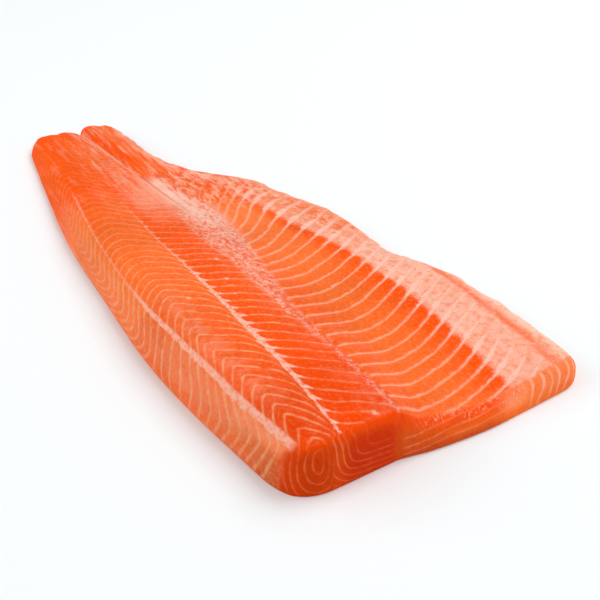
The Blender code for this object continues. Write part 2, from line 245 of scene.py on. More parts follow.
def outline():
    """The four sides of the plan, from corner to corner, with round corners."""
    y0, y1 = back_edge(TAIL_END), belly_edge(TAIL_END)
    y = np.linspace(y0, y1, 400)
    tail = np.stack([np.full_like(y, TAIL_END), y], -1)
    y = np.linspace(back_edge(HEAD_END[0]), belly_edge(HEAD_END[-1]), 400)
    head = np.stack([hermite(y, HEAD_END_AT, HEAD_END), y], -1)
    x = np.linspace(tail[0, 0], head[0, 0], 400)
    back = np.stack([x, back_edge(x)], -1)
    x = np.linspace(tail[-1, 0], head[-1, 0], 400)
    belly = np.stack([x, belly_edge(x)], -1)
    sides = {"back": back, "belly": belly, "tail": tail, "head": head}
    cut = {name: [0.0, 0.0] for name in sides}
    meets = {"tail_back": ("back", 0, "tail", 0), "head_back": ("back", 1, "head", 0),
             "tail_belly": ("belly", 0, "tail", 1), "head_belly": ("belly", 1, "head", 1)}
    for key, (long_, i, short, j) in meets.items():
        cut[long_][i], cut[short][j] = CORNER[key]
    short_sides = {name: trimmed(p, *cut[name]) for name, p in sides.items()}
    t = np.linspace(0, 1, 41)[:, None]
    for key, (long_, i, short, j) in meets.items():
        sharp = sides[long_][-i]
        p, q = short_sides[long_][-i], short_sides[short][-j]
        curve = (1 - t) ** 2 * p + 2 * t * (1 - t) * sharp + t ** 2 * q
        first, second = curve[:21], curve[20:][::-1]
        for name, end, half in ((long_, i, first), (short, j, second)):
            old = sides[name + "+"] if name + "+" in sides else short_sides[name]
            sides[name + "+"] = (np.concatenate([old, half[1:]]) if end
                                 else np.concatenate([half[::-1][:-1], old]))
    tail = sides["tail+"]                        # notched once its corners are round
    for at, depth, width in TAIL_LOBES:
        tail[:, 0] += depth * np.exp(-np.abs((tail[:, 1] - at) / width) ** 1.5)
    return {name: sides[name + "+"] for name in ("back", "belly", "tail", "head")}


SIDES = outline()
LENGTHS = {name: measured(p) for name, p in SIDES.items()}


def side(name, t):
    d = LENGTHS[name]
    return np.stack([np.interp(t * d[-1], d, SIDES[name][:, k]) for k in (0, 1)], -1)


def plan(u, v):
    """Point of the plan at u from tail to head and v from back to belly."""
    u, v = np.asarray(u, float), np.asarray(v, float)
    uu, vv = u[..., None], v[..., None]
    p = ((1 - vv) * side("back", u) + vv * side("belly", u)
         + (1 - uu) * side("tail", v) + uu * side("head", v)
         - (1 - uu) * (1 - vv) * SIDES["back"][0] - uu * (1 - vv) * SIDES["back"][-1]
         - (1 - uu) * vv * SIDES["belly"][0] - uu * vv * SIDES["belly"][-1])
    return p[..., 0], p[..., 1]


def thickness(x, y):
    """Height of the top over the base, before the rim is rolled over."""
    spine = spline(x, STATION, SPINE_SEAM)
    knots = [back_edge(x), spline(x, STATION, FAT_SEAM), spline(x, STATION, LATERAL_SEAM), spine,
             spline(x, STATION, STEP_LINE), spline(x, STATION, RIB_TIPS),
             belly_edge(x) - FLAP_SEAM, belly_edge(x)]
    for k in range(1, len(knots)):
        knots[k] = np.maximum(knots[k], knots[k - 1] + 3.0)
    heights = [hermite(x, STATION, t) for t in
               (T_BACK, T_SHOULDER, T_LOIN, T_SPINE, T_RIBS, T_TIPS, T_FLAP, T_HEM)]
    z = across(y, knots, heights)
    fade = 1 - smooth((x - 40.0) / (CREASE_END - 40.0))
    return z - CREASE_DEPTH * fade * np.exp(-((y - spine) / CREASE_WIDTH) ** 2)


def inner(a, b):
    """The part of the plan where the top is not rolled over, as u and v."""
    x, y = plan(a, b)
    long_ = LENGTHS["back"][-1]
    wide = belly_edge(x) - back_edge(x)
    step = smooth((y - SPINE_STEP + 9.0) / 18.0)
    rim_head = RIM_HEAD_LOIN + (RIM_HEAD_BELLY - RIM_HEAD_LOIN) * step
    rim_back = RIM_BACK * (0.55 + 0.45 * smooth((x + 48.0) / 150.0))
    a0, a1 = RIM_TAIL / long_, rim_head / long_
    b0, b1 = rim_back / wide, RIM_BELLY / wide
    return a0 + a * (1 - a0 - a1), b0 + b * (1 - b0 - b1)


def squareness(a, b):
    """How square the rolled rim is at a point of the outline."""
    x, y = plan(a, b)
    step = smooth((y - SPINE_STEP + 9.0) / 18.0)
    cut = SQUARE_LOIN_CUT + (SQUARE_BELLY_CUT - SQUARE_LOIN_CUT) * step
    return SQUARE_ROUND + (cut - SQUARE_ROUND) * smooth((a - 0.93) / 0.07)


def surface(a, b, c):
    """Position on the fillet of a point (a, b, c) of the unit cube's skin."""
    iu, iv = inner(a, b)
    low = 0.28                                    # share of the rim under the equator
    roll = np.clip((1 - c) / (1 - low), 0, 1) * (math.pi / 2)
    tuck = np.clip((low - c) / low, 0, 1) * (math.pi / 2)
    n = squareness(a, b)
    s = np.sin(roll) ** (2 / n)
    drop = np.cos(roll).clip(0, 1) ** (2 / n)
    u, v = iu + (a - iu) * s, iv + (b - iv) * s
    x, y = plan(u, v)
    top = thickness(x, y)
    eq = EQUATOR * top
    z = eq + (top - eq) * drop
    z = np.where(c < low, eq * (1 - np.sin(tuck)), z)
    k = UNDERCUT * (1 - np.cos(tuck))             # tucks in under the equator
    u = u + (1 - 2 * a) * k / LENGTHS["back"][-1]
    v = v + (1 - 2 * b) * k / (belly_edge(x) - back_edge(x))
    x, y = plan(u, v)
    return x, y, np.where(c <= 1e-9, 0.0, z)


# ------------------------------------------------------- fields on the chart
def line(name, x):
    return hermite(x, AT, LINES[name])


def hem(x):
    """The belly edge's foot on the chart, where the flap's rim meets the table."""
    return hermite(x, (-50, 0, 50, 100, 150, 200, 250, 280, 330, 370, 392),
                   (82, 92, 108, 124, 139, 148.5, 155, 157.5, 157, 152, 140))


def dorsal(x, y):
    """Number of the muscle line at a point of the back half; whole on a line."""
    apex, lateral, spine = line("apex", x), line("lateral", x), line("spine", x)
    knots = [line("base", x), line("ridge", x), line("fat", x), apex,
             apex + 0.5 * (lateral - apex), apex + 0.8 * (lateral - apex), lateral,
             0.5 * (lateral + spine), spine]
    sweep = across(y, knots, [hermite(x, SWEEP_AT, SWEEP[k]) for k in SWEEP])
    # the cones' tips are sharp
    sweep = sweep + 2.1 * np.exp(-np.abs(y - apex) / 3.2) * ramp(x, 170, 250) * ramp(x, 372, 350)
    # the innermost cone closes just behind the cut
    return onward(x + sweep, DORSAL_AT, DORSAL_NO) + 0.5 * ramp(x, 366, 380) * bell(y + 19, 8)


def ribs(x, y):
    """Number of the muscle line at a point of the belly half."""
    foot, reach = line("foot", x), line("reach", x)
    g = np.clip((y - foot) / (reach - foot), 0, 2)
    sweep = 0.0
    for k, row in enumerate(RIB_SWEEP):
        share = [1.0 if j == k else 0.0 for j in range(len(RIB_ACROSS))]
        sweep = sweep + spline(g, RIB_ACROSS, share) * hermite(x, RIB_SWEEP_AT, row)
    return onward(x + sweep, RIB_AT, RIB_NO)


def per_mm(field, x, y, e=0.8):
    """How fast a field changes, per millimetre."""
    return np.hypot((field(x + e, y) - field(x - e, y)) / (2 * e),
                    (field(x, y + e) - field(x, y - e)) / (2 * e))


def noise(p, size, seed):
    """Smooth random field from -1 to 1 at the points p, with cells of that size."""
    p = np.asarray(p, float) / size
    i = np.floor(p).astype(np.int64)
    f = p - i
    f = f * f * f * (f * (f * 6 - 15) + 10)
    total = 0.0
    for cx in (0, 1):
        for cy in (0, 1):
            for cz in (0, 1):
                h = ((i[..., 0] + cx) * 374761393 + (i[..., 1] + cy) * 668265263
                     + (i[..., 2] + cz) * 1274126177 + seed * 97463477) & 0x7FFFFFFF
                h = ((h ^ (h >> 13)) * 1274126177) & 0x7FFFFFFF
                h = (h ^ (h >> 16)) & 0xFFFFF
                w = ((f[..., 0] if cx else 1 - f[..., 0]) * (f[..., 1] if cy else 1 - f[..., 1])
                     * (f[..., 2] if cz else 1 - f[..., 2]))
                total = total + w * (h / 524287.5 - 1)
    return total


# ------------------------------------------------------------------- the skin
LONG, WIDE, RIM, COARSE = 432, 168, 15, 4     # cells; the underside has wider ones


def spaced(t, crowd):
    """Cells a little closer together towards both ends."""
    return t - crowd * np.sin(2 * math.pi * t) / (2 * math.pi)


A = spaced(np.linspace(0, 1, LONG + 1), 0.10)
B = spaced(np.linspace(0, 1, WIDE + 1), 0.12)


def rim_index(i, j):
    """Place along the rim, from 0, of the top grid's border point (i, j)."""
    if j == 0 and i < LONG:
        return i
    if i == LONG and j < WIDE:
        return LONG + j
    if j == WIDE and i > 0:
        return LONG + WIDE + (LONG - i)
    return 2 * LONG + WIDE + (WIDE - j)


def build_skin():
    """Points, faces and, for each point, where it lies on the chart and on the cut."""
    ga, gb = np.meshgrid(A, B, indexing="ij")
    top = np.stack(surface(ga, gb, np.ones_like(ga)), -1)
    around = 2 * (LONG + WIDE)
    ra = np.concatenate([A[:-1], np.full(WIDE, 1.0), A[::-1][:-1], np.zeros(WIDE)])
    rb = np.concatenate([np.zeros(LONG), B[:-1], np.full(LONG, 1.0), B[::-1][:-1]])
    c = np.linspace(1, 0, RIM + 1)
    cc = np.repeat(c[:, None], around, 1)
    ring = np.stack(surface(np.repeat(ra[None], RIM + 1, 0), np.repeat(rb[None], RIM + 1, 0), cc), -1)

    # the rim unrolled outwards, by arc length
    step = np.linalg.norm(np.diff(ring, axis=0), axis=-1)
    arc = np.concatenate([np.zeros((1, around)), np.cumsum(step, 0)], 0)
    widest = np.argmax(np.linalg.norm(ring[..., :2] - ring[0, :, :2], axis=-1), axis=0)
    out = ring[widest, np.arange(around), :2] - ring[0, :, :2]
    out /= np.linalg.norm(out, axis=-1)[:, None] + 1e-9
    unrolled = ring[0, :, :2][None] + out[None] * arc[..., None]

    # along the outline, from the corner of the back edge and the head cut
    loop = ring[int(RIM * 0.7)]
    run = np.concatenate([[0], np.cumsum(np.linalg.norm(np.diff(loop, axis=0), axis=-1))])
    run = run - run[LONG]
    run = np.where(run > run[LONG + WIDE] + 40, run - run[-1] * 2, run)

    # the underside, with a wider grid inside the last ring
    ia, ib = np.arange(0, LONG + 1, COARSE), np.arange(0, WIDE + 1, COARSE)
    ua, ub = np.meshgrid(A[ia], B[ib], indexing="ij")
    px, _ = plan(ua, ub)
    wide = belly_edge(px) - back_edge(px)
    ux, uy = plan(ua + (1 - 2 * ua) * UNDERCUT / LENGTHS["back"][-1],
                  ub + (1 - 2 * ub) * UNDERCUT / wide)
    inside = np.zeros(ua.shape, bool)
    inside[1:-1, 1:-1] = True

    n_top = (LONG + 1) * (WIDE + 1)
    grid = np.arange(n_top).reshape(LONG + 1, WIDE + 1)
    first = np.concatenate([grid[:-1, 0], grid[-1, :-1], grid[::-1, -1][:-1], grid[0, ::-1][:-1]])
    rings = np.concatenate([first[None], n_top + np.arange(RIM * around).reshape(RIM, around)], 0)
    under = np.full(ua.shape, -1)
    under[inside] = n_top + RIM * around + np.arange(inside.sum())
    for I in range(ua.shape[0]):
        for J in range(ua.shape[1]):
            if not inside[I, J]:
                under[I, J] = rings[-1, rim_index(I * COARSE, J * COARSE) % around]

    points = np.concatenate([top.reshape(-1, 3), ring[1:].reshape(-1, 3),
                             np.stack([ux[inside], uy[inside], np.zeros(inside.sum())], -1)])
    quads = [np.stack([grid[:-1, :-1], grid[1:, :-1], grid[1:, 1:], grid[:-1, 1:]], -1).reshape(-1, 4)]
    nxt = np.roll(np.arange(around), -1)
    quads.append(np.stack([rings[:-1], rings[1:], rings[1:][:, nxt], rings[:-1][:, nxt]], -1).reshape(-1, 4))
    faces = np.concatenate(quads).tolist()
    last_i, last_j = ua.shape[0] - 1, ua.shape[1] - 1
    for I in range(last_i):
        for J in range(last_j):
            f = [under[I, J]]
            if I == 0:
                f += [rings[-1, rim_index(0, J * COARSE + k) % around] for k in range(1, COARSE)]
            f.append(under[I, J + 1])
            if J + 1 == last_j:
                f += [rings[-1, rim_index(I * COARSE + k, WIDE) % around] for k in range(1, COARSE)]
            f.append(under[I + 1, J + 1])
            if I + 1 == last_i:
                f += [rings[-1, rim_index(LONG, J * COARSE + k) % around] for k in range(COARSE - 1, 0, -1)]
            f.append(under[I + 1, J])
            if J == 0:
                f += [rings[-1, rim_index(I * COARSE + k, 0) % around] for k in range(COARSE - 1, 0, -1)]
            faces.append([int(v) for v in f])

    n = len(points)
    chart = points[:, :2].copy()
    chart[rings[1:].ravel()] = unrolled[1:].reshape(-1, 2)
    along = np.full(n, -300.0)
    along[rings.ravel()] = np.repeat(run[None], RIM + 1, 0).ravel()
    facing = np.zeros((n, 2))
    facing[rings.ravel()] = np.repeat(out[None], RIM + 1, 0).reshape(-1, 2)
    level = np.ones(n)
    level[rings.ravel()] = cc.ravel()
    below = np.zeros(n)
    below[under[inside]] = 1.0
    shut = np.zeros(n)                       # where no line is drawn: the base's border
    shut[rings[-1]] = 1.0
    shut[under[:3].ravel()] = shut[under[-3:].ravel()] = 1.0
    shut[under[:, :3].ravel()] = shut[under[:, -3:].ravel()] = 1.0
    return points, faces, {"chart": chart, "along": along, "facing": facing, "level": level,
                           "below": below, "shut": shut, "rings": rings}


def vertex_normals(points, faces):
    total = np.zeros_like(points)
    quads = np.array([f for f in faces if len(f) == 4])
    corner = points[quads]
    n = np.cross(corner[:, 2] - corner[:, 0], corner[:, 3] - corner[:, 1])
    for k in range(4):
        np.add.at(total, quads[:, k], n)
    return total / (np.linalg.norm(total, axis=-1)[:, None] + 1e-12)


POINTS, FACES, INFO = build_skin()
NORMALS = vertex_normals(POINTS, FACES)
X, Y = INFO["chart"][:, 0], INFO["chart"][:, 1]
Z = POINTS[:, 2]
S = INFO["along"]
BELOW = INFO["below"]
UP = 1 - BELOW
AT_CUT = ramp(S, -11, -4) * ramp(S, 190, 180) * UP
CUT = AT_CUT * ramp(INFO["level"], 0.985, 0.88)
ON_TOP = 1 - CUT

ridge, fat, apex, lateral = (line(k, X) for k in ("ridge", "fat", "apex", "lateral"))
spine, foot, tips, base = (line(k, X) for k in ("spine", "foot", "tips", "base"))
low = hem(X)

PH_D, GR_D = dorsal(X, Y), per_mm(dorsal, X, Y)
PH_R, GR_R = ribs(X, Y), per_mm(ribs, X, Y)
LOIN_SIDE = ramp(Y, spine + 0.5, spine - 2.5)
RIB_SIDE = ramp(Y, foot - 0.5, foot + 2.0)

def rim_rate(values):
    """How fast a field changes along the rim's skin, per millimetre."""
    p, v = POINTS[INFO["rings"]], values[INFO["rings"]]
    down = np.linalg.norm(np.gradient(p, axis=0), axis=-1)
    turn = np.roll(p, -1, 1) - np.roll(p, 1, 1)
    step = np.roll(v, -1, 1) - np.roll(v, 1, 1)
    rate = np.hypot(np.gradient(v, axis=0) / np.maximum(down, 0.05),
                    step / np.maximum(np.linalg.norm(turn, axis=-1), 0.05))
    out = np.ones(len(values))
    out[INFO["rings"].ravel()] = rate.ravel()
    return out


# Lines on the head cut: the loin's layers are nested cones, so the lines of the top
# run on down the cut as tall rings round a core.  Then come wide rings in the deep red
# part, three layers along the base in the belly half, and slanted ones at its far end.
rim1 = (LONG + 1) * (WIDE + 1) + np.arange(LONG - 14, LONG + WIDE)
rim1 = rim1[np.argsort(S[rim1])]
BROW = np.interp(S, S[rim1], Z[rim1])         # height of the cut's upper edge
UNDER_BROW = BROW - Z


def nested(s, z, p=2.5):
    """Ring number of the loin's core, counted outwards from its middle."""
    u = s - np.interp(z, (0, 11, 16, 22, 26, 29, 31), (12.5, 12.3, 11.5, 10, 7.5, 3.5, 0.5))
    u = np.where(u > 0, np.interp(u, (0, 2.7, 5.7, 8, 10.3, 13), (0, 1, 2, 3, 4, 5)),
                 np.interp(-u, (0, 2.7, 6.7, 10.3, 13.6, 17, 34), (0, 1, 2, 3, 4, 5, 10)))
    v = np.where(z > 20, (z - 20) / 9.0, np.interp(20 - z, (0, 7.2, 13.5, 18, 22), (0, 1, 2, 3, 4)))
    return (u ** p + np.maximum(v, 0) ** p) ** (1 / p)


edge_phase = np.interp(S, S[rim1], PH_D[rim1])
eye = 34 - nested(S, Z)
eye = eye + (edge_phase - 34 + nested(S, BROW)) * ramp(UNDER_BROW, 8.0, 0.5)
lean = 11.7 - np.interp(Z, (0, 11, 16, 22, 26, 29, 31), (11.7, 11.7, 11.5, 10, 7.5, 3.5, 0.5))
S_UP = S + lean * ramp(S, 45, 22)             # the legs of the rings lean with the core
u = np.interp(46 - S_UP, (0, 9, 14, 18, 21, 24.5, 30), (0, 1, 2, 3, 4, 5, 6.6))
v = np.interp(24 - Z - 0.10 * (S - 36), (0, 6, 10, 13.5, 17, 20, 24), (0, 1, 2, 3, 4, 5, 6.3))
big = (u ** 3 + v ** 3) ** (1 / 3)
z1, z2, z3 = (np.interp(S, (58, 66, 86, 111, 135), h) for h in
              ((2.6, 3.5, 5.3, 6.0, 6.2), (6.4, 7.2, 8.6, 9.0, 8.8), (12.6, 12.0, 11.6, 11.4, 11.0)))
layer = 1 + np.where(Z < z2, (Z - z1) / (z2 - z1), 1 + (Z - z2) / (z3 - z2)) + 0.06 * np.sin(S / 5.0)
end = (S - 0.45 * (Z - 7) - 140.5) / 6.2 + 0.16 * np.sin(Z / 2.2) + 0.14 * np.sin(S / 3.1)
EYE = CUT * ramp(S + lean, 22.0, 20.8)
PH_D = PH_D * (1 - EYE) + eye * EYE
GR_D = GR_D * (1 - EYE) + np.clip(rim_rate(eye), 0.14, 0.5) * EYE
IN_BIG, IN_LAYER = ramp(S, 58.5, 57.5), ramp(S, 57.5, 58.5) * ramp(S, 136, 135)
PH_C = np.where(S < 58.0, big, np.where(S < 135.5, layer, end))
GR_C = np.where(S < 58.0, np.clip(rim_rate(big), 0.12, 0.42),
                np.where(S < 135.5, np.clip(rim_rate(layer), 0.15, 0.42), 0.162))
LO_C = CUT * (ramp(S + lean, 19.0, 20.5) * ramp(S, 56.5, 50) * ramp(big, 0.6, 1.4) * (0.40 + 0.50 * ramp(S_UP, 32, 24))
              + 0.62 * ramp(S, 58.5, 62) * ramp(S, 135, 122) * ramp(layer, 0.4, 0.8) * ramp(layer, 3.5, 3.2)
              + 0.95 * ramp(S, 136.5, 138) * (0.35 + 0.65 * ramp(Z, 1.5, 6.0)))

# ---------------------------------------------------------------- its relief
wave = (0.42 * noise(POINTS, 34, 1) + 0.24 * noise(POINTS, 15, 2) + 0.10 * noise(POINTS, 6.5, 3)
        + 0.05 * noise(POINTS, 3.0, 4))
near_d = np.abs(PH_D - np.round(PH_D)) / GR_D
near_r = np.abs(PH_R - np.round(PH_R)) / GR_R
crown_d = np.cos(2 * math.pi * PH_D)
crown_r = np.cos(2 * math.pi * PH_R)
fine_d = ramp(GR_D, 0.30, 0.20)               # no relief where the lines crowd
relief = wave
relief = relief - LOIN_SIDE * fine_d * (0.20 * bell(near_d, 1.1) + 0.05 * crown_d) * ramp(X, 40, 120)
relief = relief - RIB_SIDE * (0.34 * bell(near_r, 1.15) + 0.14 * crown_r) * ramp(X, 95, 160) * ramp(Y, tips + 8, tips - 2)
relief = relief - 0.30 * bell(Y - fat, 1.9) * ramp(X, 90, 200)
relief = relief - 0.34 * bell(Y - lateral, 1.6) * ramp(X, 90, 200)
pits = ramp(noise(POINTS, 2.6, 5), 0.0, 0.7)
seam_lo = spine - hermite(X, (-50, 100, 140, 180, 220, 270, 392), (0, 2, 8, 11, 7, 2.6, 2.0))
seam_hi = foot + hermite(X, (-50, 140, 180, 220, 260, 392), (0, 0, 2, 2, 1.0, 0.6))
SEAM = (ramp(Y, seam_lo - 1.5, seam_lo + 2) * ramp(Y, seam_hi + 1.5, seam_hi - 1.5) * ramp(X, 95, 150)
        * (1 - 0.45 * ramp(X, 250, 285)))
relief = relief - SEAM * (0.55 * pits - 0.1) - 0.5 * bell(Y - spine, 2.0) * ramp(X, 200, 250)
relief = relief + 0.35 * ramp(Y, tips - 0.5, tips + 4) * ramp(X, 120, 170) * ramp(Y, low - 10, low - 25)
# creases of the tail half
relief = relief - 0.7 * bell(Y - 51.5 + 0.8 * noise(POINTS, 22, 7), 1.3) * ramp(X, 52, 20)
relief = relief + 0.9 * bell(Y - 46.0, 2.0) * ramp(X, 45, 75) * ramp(X, 165, 125)
relief = relief - 0.55 * bell(Y - 48.7, 1.2) * ramp(X, 50, 75) * ramp(X, 158, 130)
fold_y = hermite(X, (-50, -20, 20, 50, 70, 95), (84, 85, 86.5, 90, 97, 108))
FOLD = bell(Y - fold_y, 2.0) * ramp(X, -40, -20) * ramp(X, 95, 75)
relief = relief - 1.0 * FOLD
for x0, y0, x1, y1, w, d in ((62, 66, 110, 60, 2.0, 0.8), (70, 78, 118, 70, 1.8, 0.5),
                             (30, 66, 75, 71, 2.2, 0.6), (-30, 66, 20, 70, 2.5, 0.5)):
    t = np.clip((X - x0) / (x1 - x0), 0, 1)
    relief = relief - d * bell(Y - (y0 + (y1 - y0) * t) + 1.5 * noise(POINTS, 14, 9), w) \
        * ramp(X, x0 - 6, x0 + 6) * ramp(X, x1 + 6, x1 - 6)
# the strip along the belly edge at the head
strip_y = hermite(X, (250, 262, 290, 310, 330, 350, 375, 390), (143.5, 143, 141, 138.5, 137, 135, 130.5, 128))
STRIP = bell(Y - strip_y + 0.9 * noise(POINTS, 7, 41), 3.2) * ramp(X, 254, 268) * ON_TOP
relief = relief - 0.9 * STRIP
relief = relief + 0.5 * bell(Y - strip_y - 8, 4.0) * ramp(X, 254, 275) * ON_TOP
# the cut face
near_c = np.abs(PH_C - np.round(PH_C)) / GR_C
relief = relief * (1 - 0.45 * CUT) - 0.06 * CUT * bell(near_c, 0.9) * LO_C
relief = relief - 0.8 * CUT * bell(S - 55.5 - 0.12 * (20 - Z), 2.0)     # where loin meets belly
relief = relief * ramp(Z, 0.0, 4.0) * UP
# the belly edge and the tail end are ragged
RAGGED = ramp(INFO["level"], 0.99, 0.78) * (1 - CUT) * UP * np.maximum(ramp(Y, 60, 80), ramp(X, -30, -46))
relief = relief + RAGGED * (0.9 * noise(POINTS, 12, 31) + 0.55 * noise(POINTS, 5.5, 32) - 0.35) * ramp(Z, 0.0, 2.5)
SHAPE = POINTS + NORMALS * relief[:, None]
SHAPE[:, 0] -= SHIFT[0]
SHAPE[:, 1] -= SHIFT[1]
SHAPE *= MM
lo = np.array(CAD_BOX[0]) + 2e-5
hi = np.array(CAD_BOX[1]) - 2e-5
lo[2] = max(CAD_BOX[0][2], 0.0)
SHAPE = np.clip(SHAPE, lo, hi)


# --------------------------------------------------------------- its colours
def srgb(*c):
    c = np.asarray(c, float) / 255
    return np.where(c <= 0.04045, c / 12.92, ((c + 0.055) / 1.055) ** 2.4)


def tint(colour, other, weight):
    w = np.clip(weight, 0, 1)[:, None]
    return colour * (1 - w) + other * w


LOIN = srgb(252, 98, 26)
LOIN_HEAD = srgb(232, 68, 0)
UPPER = srgb(254, 120, 56)
SIDE = srgb(253, 112, 46)
SIDE_LOW = srgb(252, 108, 46)
SIDE_BASE_SHADE = srgb(238, 84, 30)
SIDE_HEAD_SHADE = srgb(196, 80, 18)
BAND = srgb(252, 84, 10)
BAND_HEAD = srgb(240, 70, 0)
# pale pink of the membrane, also laid on as painted sheen where wet flesh would shine
PINK_AND_SHEEN = srgb(245, 166, 144)
RIB = srgb(250, 96, 24)
RIB_SOFT = srgb(250, 108, 42)
TIP = srgb(250, 80, 0)
PALE = srgb(248, 180, 160)
PALE_MID = srgb(246, 150, 116)
PALE_TAIL = srgb(246, 150, 112)
TAIL = srgb(255, 94, 14)
TAIL_DEEP = srgb(255, 80, 2)
CUT_EDGE = srgb(242, 76, 2)
# the cut's darker reds are partly its own deeper flesh, partly painted shade of the face turned from the key
CUT_FLESH_SHADED = srgb(226, 72, 0)
CUT_EYE_SHADED = srgb(212, 64, 0)
CUT_DEEP_SHADED = srgb(212, 52, 4)
CUT_BELLY = srgb(246, 112, 40)
CUT_BELLY_LOW = srgb(204, 74, 26)
CUT_END = srgb(244, 112, 44)

mottle = noise(np.stack([X, Y, 0 * X], -1), 26, 21)
mottle2 = noise(np.stack([X, Y, 0 * X], -1), 9, 22)
n = len(X)
flesh = np.repeat(LOIN[None], n, 0)
flesh = tint(flesh, LOIN_HEAD, ramp(X, 260, 370))
flesh = tint(flesh, UPPER, ramp(Y, fat + 3, fat - 3))
# paler on the slope under the fat seam near the head: partly pinkish flesh, partly painted light on a side turned from
# the key
flesh = tint(flesh, srgb(255, 146, 104), ramp(Y, fat + 1, fat - 3) * ramp(X, 215, 290) * ramp(X, 392, 360) * 0.75)
flesh = tint(flesh, SIDE, ramp(Y, ridge + 3, ridge - 5))
flesh = tint(flesh, SIDE_LOW, ramp(Y, ridge - 4, base + 2) * ramp(X, 345, 250) * ramp(X, 60, 150) * 0.8)
# painted shade: the back side darker towards its base
flesh = tint(flesh, SIDE_BASE_SHADE, ramp(Y, ridge - 9, base + 4) * ramp(X, 150, 260) * 0.35)
# painted sheen: a pale pink band low on the back side
flesh = tint(flesh, PINK_AND_SHEEN, bell(X - 118, 42) * ramp(Y, ridge - 8, base + 3) * 0.45)
# painted shade: the back side darker towards the head, where the light falls off
flesh = tint(flesh, SIDE_HEAD_SHADE, ramp(Y, fat - 5, fat - 13) * ramp(X, 300, 365) * 0.8)
flesh = tint(flesh, BAND, ramp(Y, lateral - 1.5, lateral + 2.5))
flesh = tint(flesh, BAND_HEAD, ramp(Y, lateral - 1, lateral + 3) * ramp(X, 260, 360))
f = (Y - foot) / np.maximum(tips - foot, 1)
flesh = tint(flesh, RIB, ramp(Y, foot - 3, foot + 3))
flesh = tint(flesh, RIB_SOFT, bell(f - 0.45, 0.22) * ramp(Y, foot, foot + 6) * 0.9)
flesh = tint(flesh, srgb(250, 92, 36), ramp(Y, foot, foot + 4) * ramp(f, 0.32, 0.10) * 0.5)
flesh = tint(flesh, TIP, ramp(f, 0.66, 0.95) * ramp(X, 110, 185))
flesh = tint(flesh, PINK_AND_SHEEN, SEAM * (0.40 - 0.25 * ramp(X, 230, 330)))
# pale pink behind the backbone's seam: partly membrane, partly painted sheen
flesh = tint(flesh, PINK_AND_SHEEN, ramp(X, 88, 118) * ramp(X, 205, 170) * ramp(Y, 48, 52) * ramp(Y, foot + 9, foot - 1) * 0.85)
# pale pink along the crease's ridge: partly membrane, partly painted sheen
flesh = tint(flesh, PINK_AND_SHEEN, bell(Y - 46.2, 1.8) * ramp(X, 45, 75) * ramp(X, 165, 130) * 0.8)
# painted shade: a darker line in the groove beside the crease
flesh = tint(flesh, srgb(230, 96, 56), bell(Y - 48.8, 1.0) * ramp(X, 50, 75) * ramp(X, 158, 130) * 0.5)
flesh = tint(flesh, srgb(253, 124, 66), bell(X - 150, 75) * ramp(Y, foot, foot + 6) * ramp(f, 1.0, 0.6) * 0.75)
flesh = tint(flesh, srgb(253, 116, 54), bell(X - 190, 60) * ramp(Y, fat, fat + 4) * ramp(Y, lateral, lateral - 4) * 0.6)
tail = ramp(X, 120, 40)
flesh = tint(flesh, TAIL, tail * 0.95)
flesh = tint(flesh, TAIL_DEEP, ramp(X, 120, 60) * ramp(Y, 34, 22) * (0.7 + 0.4 * mottle))
# pink in the tail half between the seams: partly membrane, partly painted sheen
flesh = tint(flesh, PINK_AND_SHEEN, ramp(X, 160, 100) * ramp(X, -52, -20) * ramp(Y, lateral + 2, lateral + 12)
             * ramp(Y, spine + 2, spine - 2) * ramp(X, 40, 110) * (0.42 + 0.2 * mottle2))
flesh = tint(flesh, srgb(250, 122, 88), ramp(X, 110, 40) * ramp(X, -52, -20) * ramp(Y, lateral + 4, lateral + 14)
             * ramp(Y, spine + 2, spine - 2) * (0.55 + 0.4 * mottle2))
# pale pink zone behind the seam: partly membrane, partly painted sheen
flesh = tint(flesh, srgb(252, 204, 190), ramp(X, 62, 84) * ramp(X, 168, 145) * bell(Y - 54.0, 9.0) * 0.95)
flesh = tint(flesh, srgb(250, 116, 62), ramp(X, 60, 10) * ramp(Y, 58, 66) * 0.7)
# painted sheen on the flap near the tail
flesh = tint(flesh, srgb(250, 196, 182), bell(X - 74, 34) * bell(Y - 86 - 0.12 * (X - 62), 6.0) * (0.85 + 0.5 * mottle))
flesh = tint(flesh, TAIL_DEEP, ramp(X, 60, 0) * bell(Y - 55.5, 5.0) * 0.9)
flesh = tint(flesh, TAIL_DEEP, ramp(X, -22, -38) * ramp(Y, 48, 44) * 0.8)
pale = np.repeat(PALE[None], n, 0)
pale = tint(pale, PALE_MID, ramp(X, 235, 175))
pale = tint(pale, PALE_TAIL, ramp(X, 150, 100))
pale = tint(pale, TAIL, ramp(X, 70, 10) * 0.75)
pale = tint(pale, srgb(248, 190, 172), ramp(X, 40, 70) * ramp(X, 130, 100) * ramp(Y, low - 26, low - 16) * 0.6)
# painted sheen: a soft pink band along the tail's belly side
for c in (flesh, pale):
    c[:] = tint(c, srgb(250, 182, 164), ramp(X, -44, -30) * ramp(X, 105, 75) * bell(Y - 75 - 6 * ramp(X, 30, 90), 4.5)
                * (0.55 + 0.3 * mottle2))
pale = tint(pale, TAIL_DEEP, ramp(X, 30, -20) * bell(Y - 56, 6) * 0.9)
pale = tint(pale, srgb(248, 112, 66), STRIP * (0.95 + 0.3 * mottle2))
# painted sheen on the raised rim beyond the strip
pale = tint(pale, srgb(252, 206, 186), bell(Y - strip_y - 8.5, 3.5) * ramp(X, 256, 272) * 0.8)
pale = tint(pale, srgb(248, 120, 70), FOLD * 0.6)
pale = tint(pale, srgb(248, 128, 84), ramp(mottle, 0.1, 0.6) * 0.25)
DOWN = AT_CUT * ramp(UNDER_BROW, 0.5, 8.0)       # the cut's colours come in below its edge: partly its own deeper red, partly painted shade
